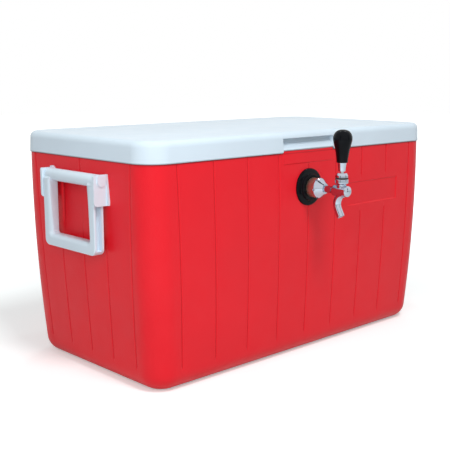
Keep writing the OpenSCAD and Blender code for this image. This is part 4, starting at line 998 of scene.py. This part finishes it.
def make_floor():
    """A grey floor to the lamps, which the eye and the reflections see as white with the chest's shadow."""
    clear_selection()
    bpy.ops.mesh.primitive_plane_add(size=14, location=(0, 0, 0))
    floor = bpy.context.object
    floor.name = "studio_floor"
    graph = material("studio_white")
    away = graph.node("ShaderNodeVectorMath", {"operation": "LENGTH"}, {0: graph.place}, out="Value")
    glow = graph.seen(0.25) * graph.ramp(away, 0.5, 1.5, 0.34, 1.0)
    graph.set(
        # Painted correction: the base that the eye sees holds less red, which cancels the red light that the chest
        # throws into its shadow on the floor.
        Base_Color=graph.tint(graph.seen(), (0.66, 0.66, 0.66, 1), (0.86, 0.94, 0.94, 1)),
        Roughness=0.8, Specular_IOR_Level=0.0,
        Emission_Color=graph.tint(glow, (0, 0, 0, 1), (1, 1, 1, 1)),
        Emission_Strength=1.0,
    )
    floor.data.materials.append(graph.material)


def make_world(strength):
    world = bpy.data.worlds.new("studio")
    bpy.context.scene.world = world
    graph = Graph(world)
    graph.tree.nodes.clear()
    lit, shown = (graph.node("ShaderNodeBackground", {}, {"Strength": power}) for power in (strength, 1.0))
    for light in (lit, shown):
        light.socket.node.inputs["Color"].default_value = (1, 1, 1, 1)
    mixed = graph.node("ShaderNodeMixShader", {}, {0: graph.seen(), 1: lit, 2: shown})
    graph.node("ShaderNodeOutputWorld", {}, {"Surface": mixed}, out=None)


def make_dark_card(name, size, spot, aim):
    """A dark card that only reflections see, so that bright metal keeps its contrast."""
    clear_selection()
    bpy.ops.mesh.primitive_plane_add(size=1)
    card = bpy.context.object
    card.name = name
    turn = (Vector(aim) - Vector(spot)).to_track_quat("Z", "Y").to_matrix().to_4x4()
    card.data.transform(Matrix.Translation(spot) @ turn @ Matrix.Diagonal((*size, 1, 1)))
    graph = material("studio_dark")
    graph.set(Base_Color=graph.tint(graph.noise(3.0), (0.02, 0.02, 0.025, 1), (0.04, 0.04, 0.05, 1)), Roughness=0.9)
    card.data.materials.append(graph.material)
    card.visible_camera = card.visible_diffuse = card.visible_shadow = False


def make_stage():
    stage = bpy.context.scene.cooler_stage
    camera = bpy.data.objects.new("camera", bpy.data.cameras.new("camera"))
    camera.data.lens, camera.data.sensor_width = stage.lens, 36
    camera.location = stage.eye
    camera.rotation_euler = (pi / 2 - stage.dip, 0, stage.turn)
    bpy.context.scene.collection.objects.link(camera)
    bpy.context.scene.camera = camera
    bpy.context.scene.view_settings.view_transform = "Standard"
    make_floor()
    make_world(stage.sky)
    area_light("glint", 0.5, 0.06, (-0.9, -1.9, 1.3), (0, -0.2, 0.3))
    make_dark_card("card_left", (0.35, 1.5), (-1.75, -0.55, 0.75), (0, -0.2, 0.25))
    make_dark_card("card_right", (0.3, 1.3), (0.75, -1.75, 0.7), (0, -0.2, 0.25))
    area_light("key", stage.key, 0.55, (-0.45, -1.30, 2.10), (0, 0, 0.2), shown=False)
    area_light("fill", stage.fill, 0.8, (-1.30, -0.90, 0.70), (0, 0, 0.2), shown=False)
    area_light("overhead_left", stage.spots, 0.10, (0.15, 0.50, 2.04), (0, 0, 0.3))
    area_light("overhead_right", stage.spots, 0.10, (0.85, -0.16, 2.04), (0, 0, 0.3))


# ---- Operators, panel and registration ----


class COOLER_OT_finishes(Operator):
    """Make every material and finish the nodes that are shown as packed"""

    bl_idname = "cooler.finishes"
    bl_label = "Finishes"

    def execute(self, context):
        make_materials()
        make_carried_finishes()
        return {"FINISHED"}


class COOLER_OT_chest_body(Operator):
    """Model the grooved red body"""

    bl_idname = "cooler.chest_body"
    bl_label = "Chest body"

    def execute(self, context):
        make_outer_shell()
        return {"FINISHED"}


class COOLER_OT_lid_cover(Operator):
    """Model the white lid with its finger grip"""

    bl_idname = "cooler.lid_cover"
    bl_label = "Lid cover"

    def execute(self, context):
        make_lid_shell()
        return {"FINISHED"}


class COOLER_OT_bail_handles(Operator):
    """Model one moulded handle and copy it to the other end"""

    bl_idname = "cooler.bail_handles"
    bl_label = "Bail handles"

    def execute(self, context):
        make_handles()
        return {"FINISHED"}


class COOLER_OT_brackets(Operator):
    """Round the four brackets that carry the handles"""

    bl_idname = "cooler.brackets"
    bl_label = "Handle brackets"

    def execute(self, context):
        make_brackets()
        return {"FINISHED"}


class COOLER_OT_hinges(Operator):
    """Round the two hinges' halves"""

    bl_idname = "cooler.hinges"
    bl_label = "Lid hinges"

    def execute(self, context):
        soften_group(("hinge_base_left", "hinge_base_right"), "chest", "white_plastic", 0.5)
        soften_group(("hinge_leaf_left", "hinge_leaf_right"), "lid", "white_plastic", 0.5)
        return {"FINISHED"}


class COOLER_OT_drain(Operator):
    """Round the drain's spout, nut and cap"""

    bl_idname = "cooler.drain"
    bl_label = "Drain"

    def execute(self, context):
        soften_group(("drain_spout", "drain_lock_nut"), "chest", "white_plastic", 0.4)
        soften_group(("drain_cap",), "drain_plug", "white_plastic", 0.4)
        return {"FINISHED"}


class COOLER_OT_liners(Operator):
    """Round the linings of the tub and the lid"""

    bl_idname = "cooler.liners"
    bl_label = "Liners"

    def execute(self, context):
        soften_group(("tub_liner",), "chest", "white_plastic", 1.0)
        soften_group(("lid_liner",), "lid", "white_plastic", 1.0)
        return {"FINISHED"}


class COOLER_OT_cold_line(Operator):
    """Model the cooling coil and its elbows as round tubes"""

    bl_idname = "cooler.cold_line"
    bl_label = "Cold line"

    def execute(self, context):
        for node in ("cooling_coil", "tap_elbow", "inlet_elbow"):
            make_tube(node, node + "_tube", "chest", "steel")
        return {"FINISHED"}


class COOLER_OT_tap_flange(Operator):
    """Turn the black wall flange"""

    bl_idname = "cooler.tap_flange"
    bl_label = "Tap flange"

    def execute(self, context):
        make_wall_flange()
        return {"FINISHED"}


class COOLER_OT_shank(Operator):
    """Turn the shank and the collar that shows behind the nut"""

    bl_idname = "cooler.shank"
    bl_label = "Shank"

    def execute(self, context):
        make_shank()
        return {"FINISHED"}


class COOLER_OT_coupling_nut(Operator):
    """Turn and drill the coupling nut"""

    bl_idname = "cooler.coupling_nut"
    bl_label = "Coupling nut"

    def execute(self, context):
        make_coupling_nut()
        return {"FINISHED"}


class COOLER_OT_tap_casting(Operator):
    """Model the tap's body and spout"""

    bl_idname = "cooler.tap_casting"
    bl_label = "Tap casting"

    def execute(self, context):
        make_tap_body()
        return {"FINISHED"}


class COOLER_OT_lever_parts(Operator):
    """Turn the bonnet, the ferrule and the knob"""

    bl_idname = "cooler.lever_parts"
    bl_label = "Lever parts"

    def execute(self, context):
        make_lever_parts()
        return {"FINISHED"}


class COOLER_OT_stage(Operator):
    """Set the floor, the lights and the camera"""

    bl_idname = "cooler.stage"
    bl_label = "Stage"

    def execute(self, context):
        make_stage()
        return {"FINISHED"}


STEPS = [
    COOLER_OT_finishes, COOLER_OT_chest_body, COOLER_OT_lid_cover, COOLER_OT_bail_handles, COOLER_OT_brackets,
    COOLER_OT_hinges, COOLER_OT_drain, COOLER_OT_liners, COOLER_OT_cold_line, COOLER_OT_tap_flange,
    COOLER_OT_shank, COOLER_OT_coupling_nut, COOLER_OT_tap_casting, COOLER_OT_lever_parts, COOLER_OT_stage,
]


class COOLER_PT_steps(Panel):
    """Lists the steps in making the cooler"""

    bl_label = "Jockey box cooler"
    bl_space_type = "VIEW_3D"
    bl_region_type = "UI"
    bl_category = "Cooler"

    def draw(self, context):
        for part in STEPS:
            self.layout.operator(part.bl_idname)


GROUPS = {
    "cooler_chest": ChestSizes, "cooler_lid": LidSizes, "cooler_finishes": Finishes, "cooler_stage": StageSettings,
}


def register():
    for group in (*GROUPS.values(), *STEPS, COOLER_PT_steps):
        bpy.utils.register_class(group)
    for name, group in GROUPS.items():
        setattr(bpy.types.Scene, name, PointerProperty(type=group))


def unregister():
    for name in GROUPS:
        delattr(bpy.types.Scene, name)
    for group in (COOLER_PT_steps, *reversed(STEPS), *reversed(GROUPS.values())):
        bpy.utils.unregister_class(group)


def main():
    register()
    for part in STEPS:
        getattr(bpy.ops.cooler, part.bl_idname.split(".")[1])()


if __name__ == "__main__":
    main()
